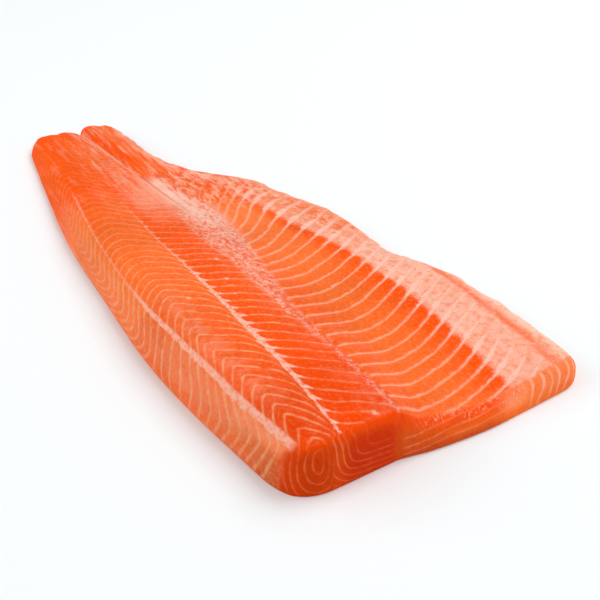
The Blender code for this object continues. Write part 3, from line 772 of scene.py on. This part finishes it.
for c in (flesh, pale):
    c[:] = tint(c, srgb(253, 196, 176), bell(Y - 48.6 + 0.02 * (X - 20), 0.9) * ramp(X, -46, -30) * ramp(X, 170, 110) * 0.70)
    # painted shade: a darker line in the crease of the tail
    c[:] = tint(c, srgb(224, 92, 54), bell(Y - 50.6 + 0.02 * (X - 20), 0.8) * ramp(X, 0, 40) * ramp(X, 165, 115) * 0.65)
    c[:] = tint(c, CUT_EDGE, CUT * ramp(S, 190, 180) * 0.9)
    c[:] = tint(c, CUT_FLESH_SHADED, DOWN)
    c[:] = tint(c, CUT_EYE_SHADED, DOWN * ramp(S, 24, 18))
    c[:] = tint(c, CUT_DEEP_SHADED, DOWN * ramp(S, 20, 31) * ramp(S, 57, 53) * (0.80 + 0.20 * ramp(Z, 6, 12)))
    c[:] = tint(c, CUT_BELLY, DOWN * ramp(S, 55, 60) * (0.8 + 0.2 * ramp(Z, 9, 5)))
    c[:] = tint(c, srgb(206, 66, 12), DOWN * ramp(S, 52, 58) * ramp(S, 104, 72) * 0.6)
    c[:] = tint(c, CUT_BELLY_LOW, AT_CUT * ramp(S, 56, 62) * ramp(S, 128, 110) * ramp(Z, 7, 2) * 0.8)
    c[:] = tint(c, CUT_END, CUT * ramp(S, 126, 138))
    c[:] = tint(c, srgb(250, 168, 128), AT_CUT * ramp(S, 138, 150) * ramp(Z, 3, 9) * 0.25)
    c[:] = tint(c, srgb(250, 160, 116), AT_CUT * bell(S - 129, 9) * ramp(Z, 3, 8) * (0.55 + 0.4 * mottle2))
shade = 1 + 0.07 * mottle + 0.05 * mottle2
flesh *= shade[:, None]
pale *= (1 + 0.03 * mottle + 0.03 * mottle2)[:, None]

# strengths and half widths, in millimetres, of what the material draws
SHUT = (1 - INFO["shut"])
LO_D = (LOIN_SIDE * np.maximum(ON_TOP, EYE) * SHUT
        * hermite(X, (-50, -20, 30, 60, 100, 140, 200, 300, 392), (0.0, 0.07, 0.10, 0.15, 0.25, 0.42, 0.64, 0.66, 0.58))
        * (1 - 0.15 * ramp(Y, ridge, ridge - 6)) * ramp(GR_D, 0.55, 0.28)
        * (1 - 0.35 * ramp(Y, lateral + 2, lateral + 8) * ramp(X, 290, 340))
        * ramp(Z, 0.0, 2.0) ** UP)
LW_D = (0.24 + 0.14 * ramp(X, 120, 260) + 0.30 * ramp(Y, fat + 2, fat - 4)
        + 0.10 * bell(Y - apex, 5.0) * ramp(X, 120, 180)
        + 0.12 * ramp(Y, lateral + 1, lateral + 6) * ramp(X, 150, 200)) * (1 - 0.5 * EYE)
LO_R = (RIB_SIDE * ON_TOP * SHUT * hermite(X, (-50, 85, 105, 130, 160, 392), (0, 0.0, 0.35, 0.85, 1.0, 1.0))
        * (1 - 0.55 * ramp(Y, tips + 6, low - 14)) * ramp(Y, low - 6, low - 14) * (1 - STRIP)
        * (1 - 0.8 * ramp(X, 300, 350) * ramp(Y, 118, 124)))
LW_R = (0.56 + (0.85 + 0.5 * ramp(X, 230, 190)) * bell(Y - tips - 4.5, 4.0 + 2.0 * ramp(X, 230, 190))
        + 0.10 * ramp(f, 0.6, 0.1) + 0.12 * ramp(X, 230, 170))
FAT_W = hermite(X, (-50, 40, 60, 120, 190, 225, 255, 300, 350, 392), (0.1, 0.2, 0.4, 0.5, 0.6, 0.9, 1.3, 1.6, 1.9, 1.9))
LAT_W = hermite(X, (-50, 60, 118, 200, 240, 275, 310, 340, 392), (0.1, 0.25, 0.35, 0.7, 1.1, 1.6, 1.5, 0.95, 0.6))
FAT_O = hermite(X, (-50, 60, 80, 130, 200, 220, 392), (0, 0, 0.5, 0.4, 0.45, 1, 1))
LAT_O = hermite(X, (-50, 95, 130, 190, 220, 392), (0, 0, 0.45, 0.6, 1, 1))
TEAR = ramp(X, 52, 72) * ramp(X, 150, 118) * ramp(Y, 53, 58) * ramp(Y, low - 8, low - 22)
WHITE = np.maximum(ramp(X, 95, 115) * ramp(X, 280, 215) * ramp(Y, tips - 2, tips + 5) * ramp(Y, low - 6, low - 16), TEAR * 0.8)
TIP_O = ramp(X, 60, 130) * (1 - CUT) * ramp(Y, foot + 3, foot + 10)
TIP_D = np.where(X < 60, 20.0, Y - tips)
STREAK = ((LOIN_SIDE * ramp(X, -30, 30) * ramp(X, 190, 130) * ramp(Y, 22, 34)
           + 0.5 * LOIN_SIDE * ramp(X, 0, 60) * ramp(X, 150, 110) * ramp(Y, apex, lateral)
           + 0.8 * SEAM) * ON_TOP * SHUT)
HALF = np.maximum(STREAK - 0.8 * SEAM, 0) + 0.4 * LOIN_SIDE * ramp(X, 190, 260) * ON_TOP * SHUT * bell(Y - apex, 12)
TAIL_O = (ramp(X, 125, 60) * (0.34 + 0.60 * ramp(Y, lateral - 2, lateral + 8))
          + 0.45 * ramp(X, 60, 125) * ramp(X, 215, 150) * bell(Y - 52, 12)) * ON_TOP
HAZE = (0.75 * bell(Y - apex - 1, 6.5) * ramp(X, 205, 250) * ramp(X, 352, 325)
        + 0.30 * ramp(Y, fat - 2, fat - 6) * ramp(X, 220, 320)
        + 0.35 * ramp(Y, lateral + 10, spine - 3) * ramp(X, 150, 190)) * ON_TOP * LOIN_SIDE
PATCH = ramp(X, 120, 145) * ramp(X, 225, 195) * ramp(Y, tips + 10, tips + 15) * ramp(Y, low - 10, low - 18)
behind = hermite(POINTS[:, 1], HEAD_END_AT, HEAD_END) - POINTS[:, 0]      # how far behind the head cut
BEVEL = bell(behind - 6.5, 4.2) * ramp(Y, 32, 42) * ramp(Y, 114, 98) * ramp(UNDER_BROW * AT_CUT, 4.5, 2.5) * UP

WET = 1 - np.maximum.reduce([0.66 * CUT, 0.58 * ramp(X, 230, 350) * LOIN_SIDE, 0.25 * ramp(X, 210, 270), 0.85 * ramp(X, 130, 40) * ramp(Y, lateral - 4, base + 8),
                             0.86 * ramp(X, 100, 60) * ramp(Y, 60, 70), 0.80 * ramp(Y, low - 20, low - 12),
                             0.70 * ramp(X, -30, -42), 0.50 * ramp(Y, ridge, base + 4)])

# the underside is plain flesh with faint lines
LO_D = LO_D * (UP + 0.35 * BELOW)
LO_R, STREAK, HALF, TIP_O = (v * UP for v in (LO_R, STREAK, HALF, TIP_O))
WHITE, TEAR, PATCH, HAZE, TAIL_O = (v * UP for v in (WHITE, TEAR, PATCH, HAZE, TAIL_O))
flesh = tint(flesh, srgb(250, 112, 56), BELOW * 0.8)
CALM = np.maximum.reduce([CUT, 0.75 * ramp(X, 140, 50) * ramp(Y, lateral + 4, lateral - 8),
                           0.45 * ramp(X, 240, 330) * LOIN_SIDE * ramp(Y, fat, fat + 4)])

FIELDS = {"calm": CALM, "wet": WET, "ph_d": PH_D, "gr_d": GR_D, "lo_d": LO_D, "lw_d": LW_D,
          "ph_r": PH_R, "gr_r": GR_R, "lo_r": LO_R, "lw_r": LW_R,
          "ph_c": PH_C, "gr_c": GR_C, "lo_c": LO_C,
          "fat": Y - fat, "fat_w": FAT_W, "lat": Y - lateral, "lat_w": LAT_W,
          "fat_o": FAT_O * ON_TOP * SHUT * UP, "lat_o": LAT_O * ON_TOP * SHUT * UP, "white": WHITE * ON_TOP * SHUT,
          "tear": TEAR * ON_TOP,
          "tip": TIP_D, "tip_o": TIP_O, "seam": SEAM * ON_TOP * SHUT * UP, "spi": Y - spine,
          "streak": STREAK, "half": HALF, "tail": TAIL_O, "patch": PATCH * ON_TOP, "haze": HAZE, "bevel": BEVEL, "cut": CUT}


def make_fillet():
    mesh = bpy.data.meshes.new("fillet_flesh")
    mesh.from_pydata(SHAPE.tolist(), [], FACES)
    mesh.update()
    mesh.shade_smooth()
    for name, values in FIELDS.items():
        mesh.attributes.new(name, "FLOAT", "POINT").data.foreach_set(
            "value", np.asarray(values, np.float32))
    for name, values in (("chart", np.stack([X, Y, 30.0 * BELOW], -1)),
                         ("cutmap", np.stack([S, Z, 0 * Z], -1))):
        mesh.attributes.new(name, "FLOAT_VECTOR", "POINT").data.foreach_set(
            "vector", np.asarray(values, np.float32).ravel())
    for name, values in (("flesh", flesh), ("pale", pale)):
        rgba = np.concatenate([np.clip(values, 0, 1), np.ones((n, 1))], 1)
        mesh.attributes.new(name, "FLOAT_COLOR", "POINT").data.foreach_set(
            "color", np.asarray(rgba, np.float32).ravel())
    # the top and the unrolled rim take most of the map, the underside a strip of it
    u = 0.01 + 0.98 * (X - X.min()) / (X.max() - X.min())
    v = 0.01 + 0.76 * (Y - Y.min()) / (Y.max() - Y.min())
    corners = np.zeros(len(mesh.loops), np.int64)
    mesh.loops.foreach_get("vertex_index", corners)
    under_face = np.zeros(len(mesh.polygons), bool)
    under_face[(LONG * WIDE + RIM * 2 * (LONG + WIDE)):] = True
    totals = np.zeros(len(mesh.polygons), np.int64)
    mesh.polygons.foreach_get("loop_total", totals)
    is_under = np.repeat(under_face, totals)
    px, py = SHAPE[corners, 0], SHAPE[corners, 1]
    uu = np.where(is_under, 0.01 + 0.44 * (px - lo[0]) / (hi[0] - lo[0]), u[corners])
    vv = np.where(is_under, 0.79 + 0.20 * (py - lo[1]) / (hi[1] - lo[1]), v[corners])
    layer_uv = mesh.uv_layers.new(name="OFBake")
    layer_uv.data.foreach_set("uv", np.stack([uu, vv], -1).astype(np.float32).ravel())
    obj = bpy.data.objects.new("fillet_flesh", mesh)
    bpy.context.scene.collection.objects.link(obj)
    return obj


# -------------------------------------------------------------- the material
class Value:
    """A socket that can be reckoned with: each operation adds a Math node."""

    def __init__(self, graph, socket):
        self.graph, self.socket = graph, socket

    def __add__(self, o): return self.graph.math("ADD", self, o)
    def __radd__(self, o): return self.graph.math("ADD", o, self)
    def __sub__(self, o): return self.graph.math("SUBTRACT", self, o)
    def __rsub__(self, o): return self.graph.math("SUBTRACT", o, self)
    def __mul__(self, o): return self.graph.math("MULTIPLY", self, o)
    def __rmul__(self, o): return self.graph.math("MULTIPLY", o, self)
    def __truediv__(self, o): return self.graph.math("DIVIDE", self, o)
    def __abs__(self): return self.graph.math("ABSOLUTE", self)
    def __pow__(self, o): return self.graph.math("POWER", self, o)


class Graph:
    def __init__(self, name):
        self.material = bpy.data.materials.new(name)
        self.material.use_nodes = True
        self.tree = self.material.node_tree
        self.tree.nodes.clear()
        self.made = {}

    def put(self, value, socket):
        if isinstance(value, Value):
            self.tree.links.new(value.socket, socket)
        else:
            socket.default_value = value

    def node(self, kind, **settings):
        node = self.tree.nodes.new(kind)
        for k, v in settings.items():
            setattr(node, k, v)
        return node

    def math(self, operation, *values):
        node = self.node("ShaderNodeMath", operation=operation)
        for k, v in enumerate(values):
            self.put(v, node.inputs[k])
        return Value(self, node.outputs[0])

    def field(self, name, output="Fac"):
        if name not in self.made:
            self.made[name] = self.node("ShaderNodeAttribute", attribute_type="GEOMETRY",
                                        attribute_name=name)
        return Value(self, self.made[name].outputs[output])

    def vector(self, x, y, z=0.0):
        node = self.node("ShaderNodeCombineXYZ")
        for k, v in enumerate((x, y, z)):
            self.put(v, node.inputs[k])
        return Value(self, node.outputs[0])

    def parts(self, vector):
        node = self.node("ShaderNodeSeparateXYZ")
        self.put(vector, node.inputs[0])
        return [Value(self, o) for o in node.outputs]

    def noise(self, at, size, detail=2.0, rough=0.5, shift=0.0):
        node = self.node("ShaderNodeTexNoise", noise_dimensions="4D")
        self.put(at, node.inputs["Vector"])
        node.inputs["W"].default_value = shift
        node.inputs["Scale"].default_value = 1.0 / size
        node.inputs["Detail"].default_value = detail
        node.inputs["Roughness"].default_value = rough
        return Value(self, node.outputs["Fac"])

    def cells(self, at, size, feature="F1", jitter=1.0):
        node = self.node("ShaderNodeTexVoronoi", feature=feature)
        self.put(at, node.inputs["Vector"])
        node.inputs["Scale"].default_value = 1.0 / size
        node.inputs["Randomness"].default_value = jitter
        return Value(self, node.outputs["Distance"]), Value(self, node.outputs["Color"])

    def ramp(self, value, lo, hi):
        """0 at lo, 1 at hi, smooth between; lo may be the larger."""
        node = self.node("ShaderNodeMapRange", interpolation_type="SMOOTHSTEP", clamp=True)
        self.put(value, node.inputs["Value"])
        self.put(lo, node.inputs["From Min"])
        self.put(hi, node.inputs["From Max"])
        return Value(self, node.outputs["Result"])

    def mix(self, amount, a, b):
        return self.blend("MIX", amount, a, b)

    def blend(self, how, amount, a, b):
        node = self.node("ShaderNodeMix", data_type="RGBA", blend_type=how, clamp_factor=True)
        self.put(amount, node.inputs["Factor"])
        for v, socket in ((a, node.inputs[6]), (b, node.inputs[7])):
            self.put(v if isinstance(v, Value) else tuple(v) + (1.0,), socket)
        return Value(self, node.outputs[2])

    def most(self, *values):
        out = values[0]
        for v in values[1:]:
            out = self.math("MAXIMUM", out, v)
        return out


def flesh_material():
    g = Graph("trout_flesh")
    chart = g.field("chart", "Vector")
    x, y, z = g.parts(chart)
    s, height, _ = g.parts(g.field("cutmap", "Vector"))
    broad, middle = g.noise(chart, 17.0, 2, shift=1.0), g.noise(chart, 4.5, 2, shift=2.0)
    fine, tiny = g.noise(chart, 1.6, 2, shift=3.0), g.noise(chart, 0.7, 2, shift=4.0)
    mottle = g.noise(chart, 2.4, 4, 0.66, shift=5.0)
    fibre = g.noise(g.vector(x * 0.30 + y * 0.12, y, z), 1.2, 3, 0.6, shift=6.0)
    smear = g.noise(g.vector(x * 0.11, y + x * 0.08, z), 3.0, 4, 0.62, shift=7.0)

    # --- white lines between the muscle layers: the distance to the nearest one
    bend = (broad - 0.5) * 0.30 + (middle - 0.5) * 0.16 + (fine - 0.5) * 0.05
    ph_d = g.field("ph_d") + bend
    gap_d = g.math("PINGPONG", ph_d, 0.5) / g.field("gr_d")
    width_d = g.field("lw_d") * (0.30 + 1.4 * middle)
    soft = g.ramp(x, 190.0, 90.0) * 0.5
    line_d = (g.ramp(gap_d, width_d + soft + 0.62, width_d - 0.42) * g.field("lo_d")
              * (0.30 + 0.85 * g.ramp(fine * 0.6 + middle * 0.9, 0.50, 0.92)))
    halo_d = g.ramp(gap_d, 2.6, 0.2) * g.field("lo_d") * (0.4 + 1.2 * middle)
    ph_r = g.field("ph_r") + (broad - 0.5) * 0.18 + (middle - 0.5) * 0.20 + (fine - 0.5) * 0.08
    ping_r = g.math("PINGPONG", ph_r, 0.5)
    gap_r = ping_r / g.field("gr_r")
    width_r = g.field("lw_r") * (0.50 + 1.0 * middle)
    line_r = (g.ramp(gap_r, width_r + 0.75, width_r - 0.50) * g.field("lo_r")
              * (0.45 + 0.65 * g.ramp(fine + 0.6 * middle, 0.50, 0.95)))
    halo_r = g.ramp(gap_r, 2.4, 0.3) * g.field("lo_r")
    ph_c = g.field("ph_c") + bend * 0.5
    gap_c = g.math("PINGPONG", ph_c, 0.5) / g.field("gr_c")
    far_end = g.ramp(s, 134.0, 138.0)
    width_c = 0.05 + 0.42 * middle + far_end * 0.50
    line_c = g.ramp(gap_c, width_c + 0.6, width_c - 0.45) * g.field("lo_c") * (0.50 + 0.50 * g.ramp(middle, 0.34, 0.60))
    # fainter lines between them in the tail half
    half_d = g.math("PINGPONG", ph_d * 2.0 + (middle - 0.5) * 0.5, 0.5) / (g.field("gr_d") * 2.0)
    line_h = g.ramp(half_d, 0.9, 0.1) * g.field("half") * g.ramp(middle, 0.38, 0.62)
    # pale dashes along the layers
    dash = g.noise(g.vector(ph_d * 7.0, y * 0.20, z), 1.0, 3, 0.66, shift=8.0)
    streak = g.ramp(dash, 0.50, 0.68) * g.field("streak")

    # --- the two long seams of fat
    fat = abs(g.field("fat") + (middle - 0.5) * 1.4 + (fine - 0.5) * 1.2)
    fat_w = g.field("fat_w") * (0.6 + 0.8 * middle)
    seam_fat = g.ramp(fat, fat_w + 0.8, fat_w - 0.5) * g.field("fat_o") * (0.40 + 0.70 * g.ramp(mottle, 0.34, 0.58))
    node_at = g.ramp(g.math("PINGPONG", ph_d + 0.04, 0.5), 0.34, 0.0)
    lat = g.field("lat") + (fine - 0.5) * 1.6 + (middle - 0.5) * 1.2
    lat_w = g.field("lat_w") * (0.25 + 1.3 * middle)
    wedge = node_at * node_at * (g.field("lat_w") * 2.2 + 0.8)
    seam_lat = (g.ramp(lat, lat_w + wedge + 0.5, lat_w + wedge - 0.5) * g.ramp(lat, -0.5 - lat_w, 0.5 - lat_w)
                * g.field("lat_o") * (0.35 + 0.75 * g.ramp(mottle, 0.36, 0.58)))

    # --- flesh, and the paler membrane past the ends of the rib layers
    finger = 1.0 - 2.0 * ping_r
    edge = (g.field("tip") + 2.4 * finger * finger * finger + (fine - 0.5) * 3.6 + (middle - 0.5) * 5.0
            + (broad - 0.5) * 5.0)
    beyond = g.ramp(edge, -2.4, 2.6) * g.field("tip_o")
    flesh_c, pale_c = g.field("flesh", "Color"), g.field("pale", "Color")
    blotch = g.ramp(g.noise(chart, 11.0, 3, 0.6, shift=9.0), 0.40, 0.62)
    islands = g.field("patch") * g.ramp(ping_r, 0.10, 0.26) * g.ramp(blotch + middle, 0.55, 1.05)
    colour = g.mix(beyond, flesh_c, pale_c)
    colour = g.mix(islands * 0.85, colour, tuple(srgb(243, 104, 40)))
    film_at = g.noise(chart, 4.0, 4, 0.68, shift=15.0)
    colour = g.mix(g.ramp(film_at, 0.50, 0.66) * beyond * 0.60, colour, tuple(srgb(252, 194, 178)))
    colour = g.mix(g.ramp(film_at, 0.50, 0.36) * beyond * 0.75, colour, tuple(srgb(246, 136, 106)))
    freckle = g.noise(chart, 2.2, 3, 0.62, shift=16.0)
    colour = g.mix(g.ramp(freckle, 0.54, 0.64) * beyond * g.ramp(g.field("tip"), 26.0, 2.0) * 0.60, colour,
                   tuple(srgb(248, 112, 58)))
    deep, light = (0.965, 0.72, 0.36), tuple(srgb(249, 150, 104))
    # each layer is a little darker on its tail side; all of it is mottled and has a grain
    phase = g.math("FRACT", ph_d)
    colour = g.blend("MULTIPLY", g.ramp(phase, 0.25, 1.0) * g.field("lo_d") * 0.30, colour, deep)
    cut, calm = g.field("cut"), g.field("calm")
    colour = g.mix(g.ramp(mottle, 0.50, 0.70) * 0.40 * (1.0 - calm * 0.9), colour, light)
    colour = g.mix(g.ramp(tiny, 0.56, 0.72) * 0.26 * (1.0 - calm * 0.9), colour, tuple(srgb(252, 168, 128)))
    colour = g.blend("MULTIPLY", g.ramp(mottle, 0.51, 0.28) * 0.95, colour, deep)
    colour = g.mix(g.ramp(fibre, 0.52, 0.74) * 0.14 * (1.0 - calm), colour, light)
    colour = g.blend("MULTIPLY", g.ramp(fibre, 0.48, 0.26) * 0.50, colour, deep)
    colour = g.blend("MULTIPLY", g.ramp(fine, 0.46, 0.28) * 0.40, colour, deep)
    # long pale and deep streaks of the thin tail
    colour = g.mix(g.ramp(smear, 0.49, 0.66) * g.field("tail") * 0.80, colour, tuple(srgb(251, 158, 132)))
    colour = g.mix(g.ramp(smear, 0.49, 0.36) * g.field("tail") * 0.80, colour, tuple(srgb(255, 78, 4)))
    # torn places at the root of the belly, and white blotches past the rib layers
    tear = g.noise(g.vector(x * 0.32, y + x * 0.10, z), 4.2, 4, 0.66, shift=12.0)
    colour = g.mix(g.ramp(tear, 0.52, 0.44) * g.field("tear") * 0.85, colour, tuple(srgb(244, 90, 26)))
    colour = g.mix(g.ramp(tear, 0.52, 0.62) * g.field("tear") * 0.65, colour, tuple(srgb(249, 176, 150)))
    patchy = g.noise(chart, 5.0, 4, 0.62, shift=13.0)
    colour = g.mix(g.ramp(patchy, 0.52, 0.66) * g.field("white") * 0.60, colour, tuple(srgb(250, 196, 174)))
    colour = g.mix(g.ramp(dash, 0.50, 0.74) * g.field("lo_d") * 0.30 * (1.0 - calm), colour, light)
    colour = g.blend("MULTIPLY", g.ramp(dash, 0.50, 0.28) * g.field("lo_d") * 0.45, colour, deep)
    haze = g.field("haze") * g.ramp(patchy, 0.36, 0.60) * (0.5 + fine)
    colour = g.mix(haze * 0.62, colour, tuple(srgb(250, 148, 116)))
    colour = g.mix(halo_d * 0.13 * (1.0 - cut), colour, light)
    colour = g.mix(halo_r * (0.12 + 0.12 * g.ramp(g.field("tip"), -30.0, -60.0)), colour, tuple(srgb(252, 146, 108)))
    colour = g.mix(streak * 0.50, colour, tuple(srgb(247, 164, 130)))
    colour = g.mix(line_h * 0.35, colour, tuple(srgb(247, 162, 122)))
    colour = g.mix(line_d * (0.80 - 0.15 * cut), colour, g.mix(cut, tuple(srgb(248, 172, 128)), tuple(srgb(240, 136, 84))))
    far = g.ramp(g.field("tip"), -16.0, 3.0)
    colour = g.mix(line_r * 0.85, colour, g.mix(far, tuple(srgb(252, 162, 126)), tuple(srgb(252, 192, 174))))
    belly_c = g.mix(g.ramp(s, 56.0, 62.0), tuple(srgb(240, 132, 84)), tuple(srgb(250, 152, 108)))
    colour = g.mix(line_c * 0.72, colour, g.mix(far_end, belly_c, tuple(srgb(252, 180, 150))))
    colour = g.mix(seam_fat * 0.85, colour, g.mix(fine, tuple(srgb(248, 160, 134)), tuple(srgb(251, 196, 176))))
    colour = g.mix(seam_lat * 0.85, colour, tuple(srgb(248, 190, 168)))

    # --- the backbone's seam: torn membrane, specks of blood, a few cut bone ends
    torn = g.noise(g.vector(x * 0.85, y, z), 2.7, 4, 0.70, shift=10.0)
    speck = g.noise(g.vector(x, y * 1.2, z), 1.5, 2, 0.6, shift=17.0)
    raw = g.field("seam")
    colour = g.mix(g.ramp(torn, 0.51, 0.60) * raw * 0.75, colour, tuple(srgb(250, 184, 162)))
    colour = g.mix(g.ramp(torn, 0.48, 0.39) * raw * 0.70, colour, tuple(srgb(240, 82, 38)))
    colour = g.mix(g.ramp(speck, 0.38, 0.32) * raw * 0.52, colour, tuple(srgb(192, 66, 44)))
    along = g.ramp(abs(g.field("spi") + (middle - 0.5) * 3.4), 1.9, 0.4) * raw
    colour = g.mix(along * g.ramp(fine, 0.42, 0.60) * 0.65, colour, tuple(srgb(250, 188, 170)))
    colour = g.mix(along * g.ramp(fine, 0.44, 0.34) * 0.55, colour, tuple(srgb(216, 70, 46)))
    spot, tone = g.cells(g.vector(x, y * 1.2, z), 5.5)
    _, tone_g, tone_b = g.parts(tone)
    bone = g.ramp(spot, 0.20, 0.08) * raw * g.ramp(tone_g, 0.60, 0.66)
    colour = g.mix(bone * 0.85, colour, tuple(srgb(250, 208, 176)))
    # a few lone white marks
    for at_x, at_y, size in ((373.5, 15.2, 1.9), (229.3, 21.5, 1.5), (203.5, 29.5, 1.6), (246.0, 16.5, 1.2),
                             (237.0, -7.0, 1.5), (276.5, 31.0, 1.5), (300.5, -29.5, 1.5)):
        away = (g.math("SQRT", (x - at_x) * (x - at_x) * 0.45 + (y - at_y) * (y - at_y))
                + (tiny - 0.5) * 1.8 + (fine - 0.5) * 2.4)
        colour = g.mix(g.ramp(away, size, size * 0.2) * 0.62, colour, tuple(srgb(250, 196, 172)))
    # frayed white fibres where the belly half is cut across
    drift = g.noise(g.vector(x, y, 7.0), 6.0, 2, 0.5, shift=14.0)
    fleck = g.noise(g.vector(x * 0.75 + y * 0.35, y, z), 1.2, 3, 0.62, shift=11.0)
    fray = (g.ramp(fleck, 0.50, 0.59) * g.field("bevel") * (0.30 + 0.70 * g.ramp(gap_r, 3.6, 0.8))
            * (0.25 + 0.75 * g.ramp(drift, 0.40, 0.56)))
    colour = g.mix(fray * 0.60, colour, tuple(srgb(250, 184, 152)))

    # the red is held back so that it doesn't glare
    colour = g.blend("MULTIPLY", 1.0 - cut, colour, (0.945, 1.0, 1.0))

    # --- wet surface
    shader = g.node("ShaderNodeBsdfPrincipled")
    out = g.node("ShaderNodeOutputMaterial")
    g.tree.links.new(shader.outputs[0], out.inputs[0])
    g.put(colour, shader.inputs["Base Color"])
    g.put(0.30 + 0.20 * middle + 0.10 * fibre, shader.inputs["Roughness"])
    shader.inputs["IOR"].default_value = 1.38
    shader.inputs["Specular IOR Level"].default_value = 0.0
    shader.inputs["Subsurface Weight"].default_value = 0.22
    shader.inputs["Subsurface Radius"].default_value = (1.0, 0.32, 0.12)
    shader.inputs["Subsurface Scale"].default_value = 0.0035
    g.put(0.38 * g.field("wet"), shader.inputs["Coat Weight"])
    shader.inputs["Coat Roughness"].default_value = 0.17
    shader.inputs["Coat IOR"].default_value = 1.36
    lift = (g.most(line_d, line_r, line_c) * -0.07 + (middle - 0.5) * 0.20 + (mottle - 0.5) * 0.30
            + (fibre - 0.5) * 0.10 + (smear - 0.5) * g.field("tail") * 0.9 + (torn - 0.5) * raw * 0.8
            + fray * 0.12 - seam_fat * 0.08 - seam_lat * 0.10)
    # the film of juice lies smoother than the flesh under it
    film = ((broad - 0.5) * 0.8 + (middle - 0.5) * 0.22 + (smear - 0.5) * g.field("tail") * 0.6
            + (torn - 0.5) * raw * 0.5 + fray * 0.1 - seam_fat * 0.05)
    for height_of, socket in ((lift, "Normal"), (film, "Coat Normal")):
        bump = g.node("ShaderNodeBump")
        bump.inputs["Strength"].default_value = 0.9
        bump.inputs["Distance"].default_value = 0.001
        g.put(height_of, bump.inputs["Height"])
        g.tree.links.new(bump.outputs[0], shader.inputs[socket])
    return g.material


fillet = make_fillet()
fillet.data.materials.append(flesh_material())
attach(fillet, "root")
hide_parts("fillet")


# --------------------------------------------------------- floor, light, camera
def plain(name, colour, rough, glow):
    mat = bpy.data.materials.new(name)
    mat.use_nodes = True
    bsdf = mat.node_tree.nodes["Principled BSDF"]
    bsdf.inputs["Base Color"].default_value = colour + (1.0,)
    bsdf.inputs["Roughness"].default_value = rough
    bsdf.inputs["Specular IOR Level"].default_value = 0.0
    bsdf.inputs["Emission Color"].default_value = (1.0, 1.0, 1.0, 1.0)
    bsdf.inputs["Emission Strength"].default_value = glow
    return mat


bpy.ops.mesh.primitive_plane_add(size=9.0, location=(0, 0, 0))
floor = bpy.context.active_object
floor.name = "floor"
floor.data.materials.append(plain("floor", (0.82, 0.85, 0.86), 0.9, 0.06))

scene = bpy.context.scene
scene.view_settings.view_transform = "Standard"
scene.view_settings.look = "None"
scene.view_settings.exposure = 0.0
scene.view_settings.gamma = 1.0
world = bpy.data.worlds.new("studio")
world.use_nodes = True
world.node_tree.nodes["Background"].inputs[0].default_value = (1.0, 1.0, 1.0, 1.0)
world.node_tree.nodes["Background"].inputs[1].default_value = 0.52
scene.world = world
# in wet surfaces the dome is bright only near the ground, as a lit backdrop is
tree = world.node_tree
rays, where = tree.nodes.new("ShaderNodeLightPath"), tree.nodes.new("ShaderNodeTexCoord")
up, fall = tree.nodes.new("ShaderNodeSeparateXYZ"), tree.nodes.new("ShaderNodeMapRange")
fall.interpolation_type = "SMOOTHSTEP"
for k, v in (("From Min", 0.05), ("From Max", 0.24), ("To Min", 0.6), ("To Max", 0.02)):
    fall.inputs[k].default_value = v
pick = tree.nodes.new("ShaderNodeMix")
pick.inputs["A"].default_value = 0.56
tree.links.new(where.outputs["Generated"], up.inputs[0])
tree.links.new(up.outputs["Z"], fall.inputs["Value"])
tree.links.new(fall.outputs["Result"], pick.inputs["B"])
tree.links.new(rays.outputs["Is Glossy Ray"], pick.inputs["Factor"])
tree.links.new(pick.outputs["Result"], tree.nodes["Background"].inputs[1])


def softbox(name, at, toward, size, watts, colour=(1.0, 1.0, 1.0)):
    light = bpy.data.lights.new(name, "AREA")
    light.shape = "RECTANGLE"
    light.size, light.size_y = size
    light.energy = watts
    light.color = colour
    obj = bpy.data.objects.new(name, light)
    scene.collection.objects.link(obj)
    obj.location = at
    obj.rotation_mode = "QUATERNION"
    obj.rotation_quaternion = (Vector(toward) - Vector(at)).to_track_quat("-Z", "Y")
    return obj


key = softbox("key", (0.24, 1.08, 1.84), (0.0, 0.0, 0.0), (1.4, 1.4), 24.6)
side_fill = softbox("side", (-0.9, -1.6, 0.9), (0.0, 0.0, 0.0), (2.4, 1.5), 15.5)
sheen = softbox("sheen", (0.34, 1.30, 1.30), (0.0, 0.0, 0.0), (1.9, 1.1), 7.5)
front = softbox("front", (1.5, 0.1, 0.8), (0.0, 0.0, 0.0), (1.6, 1.2), 2.2)
# three boxes give the light, the sheen only the wet shine
key.visible_glossy = side_fill.visible_glossy = front.visible_glossy = False
sheen.visible_diffuse = False

camera = bpy.data.objects.new("camera", bpy.data.cameras.new("camera"))
scene.collection.objects.link(camera)
camera.data.lens, camera.data.sensor_width = 65.0, 36.0
camera.data.clip_start, camera.data.clip_end = 0.01, 50.0
camera.location = (0.511701, -0.284594, 0.338399)
camera.rotation_mode = "QUATERNION"
camera.rotation_quaternion = (Vector((0.069087, 0.009082, 0.0)) - camera.location).to_track_quat("-Z", "Y")
scene.camera = camera
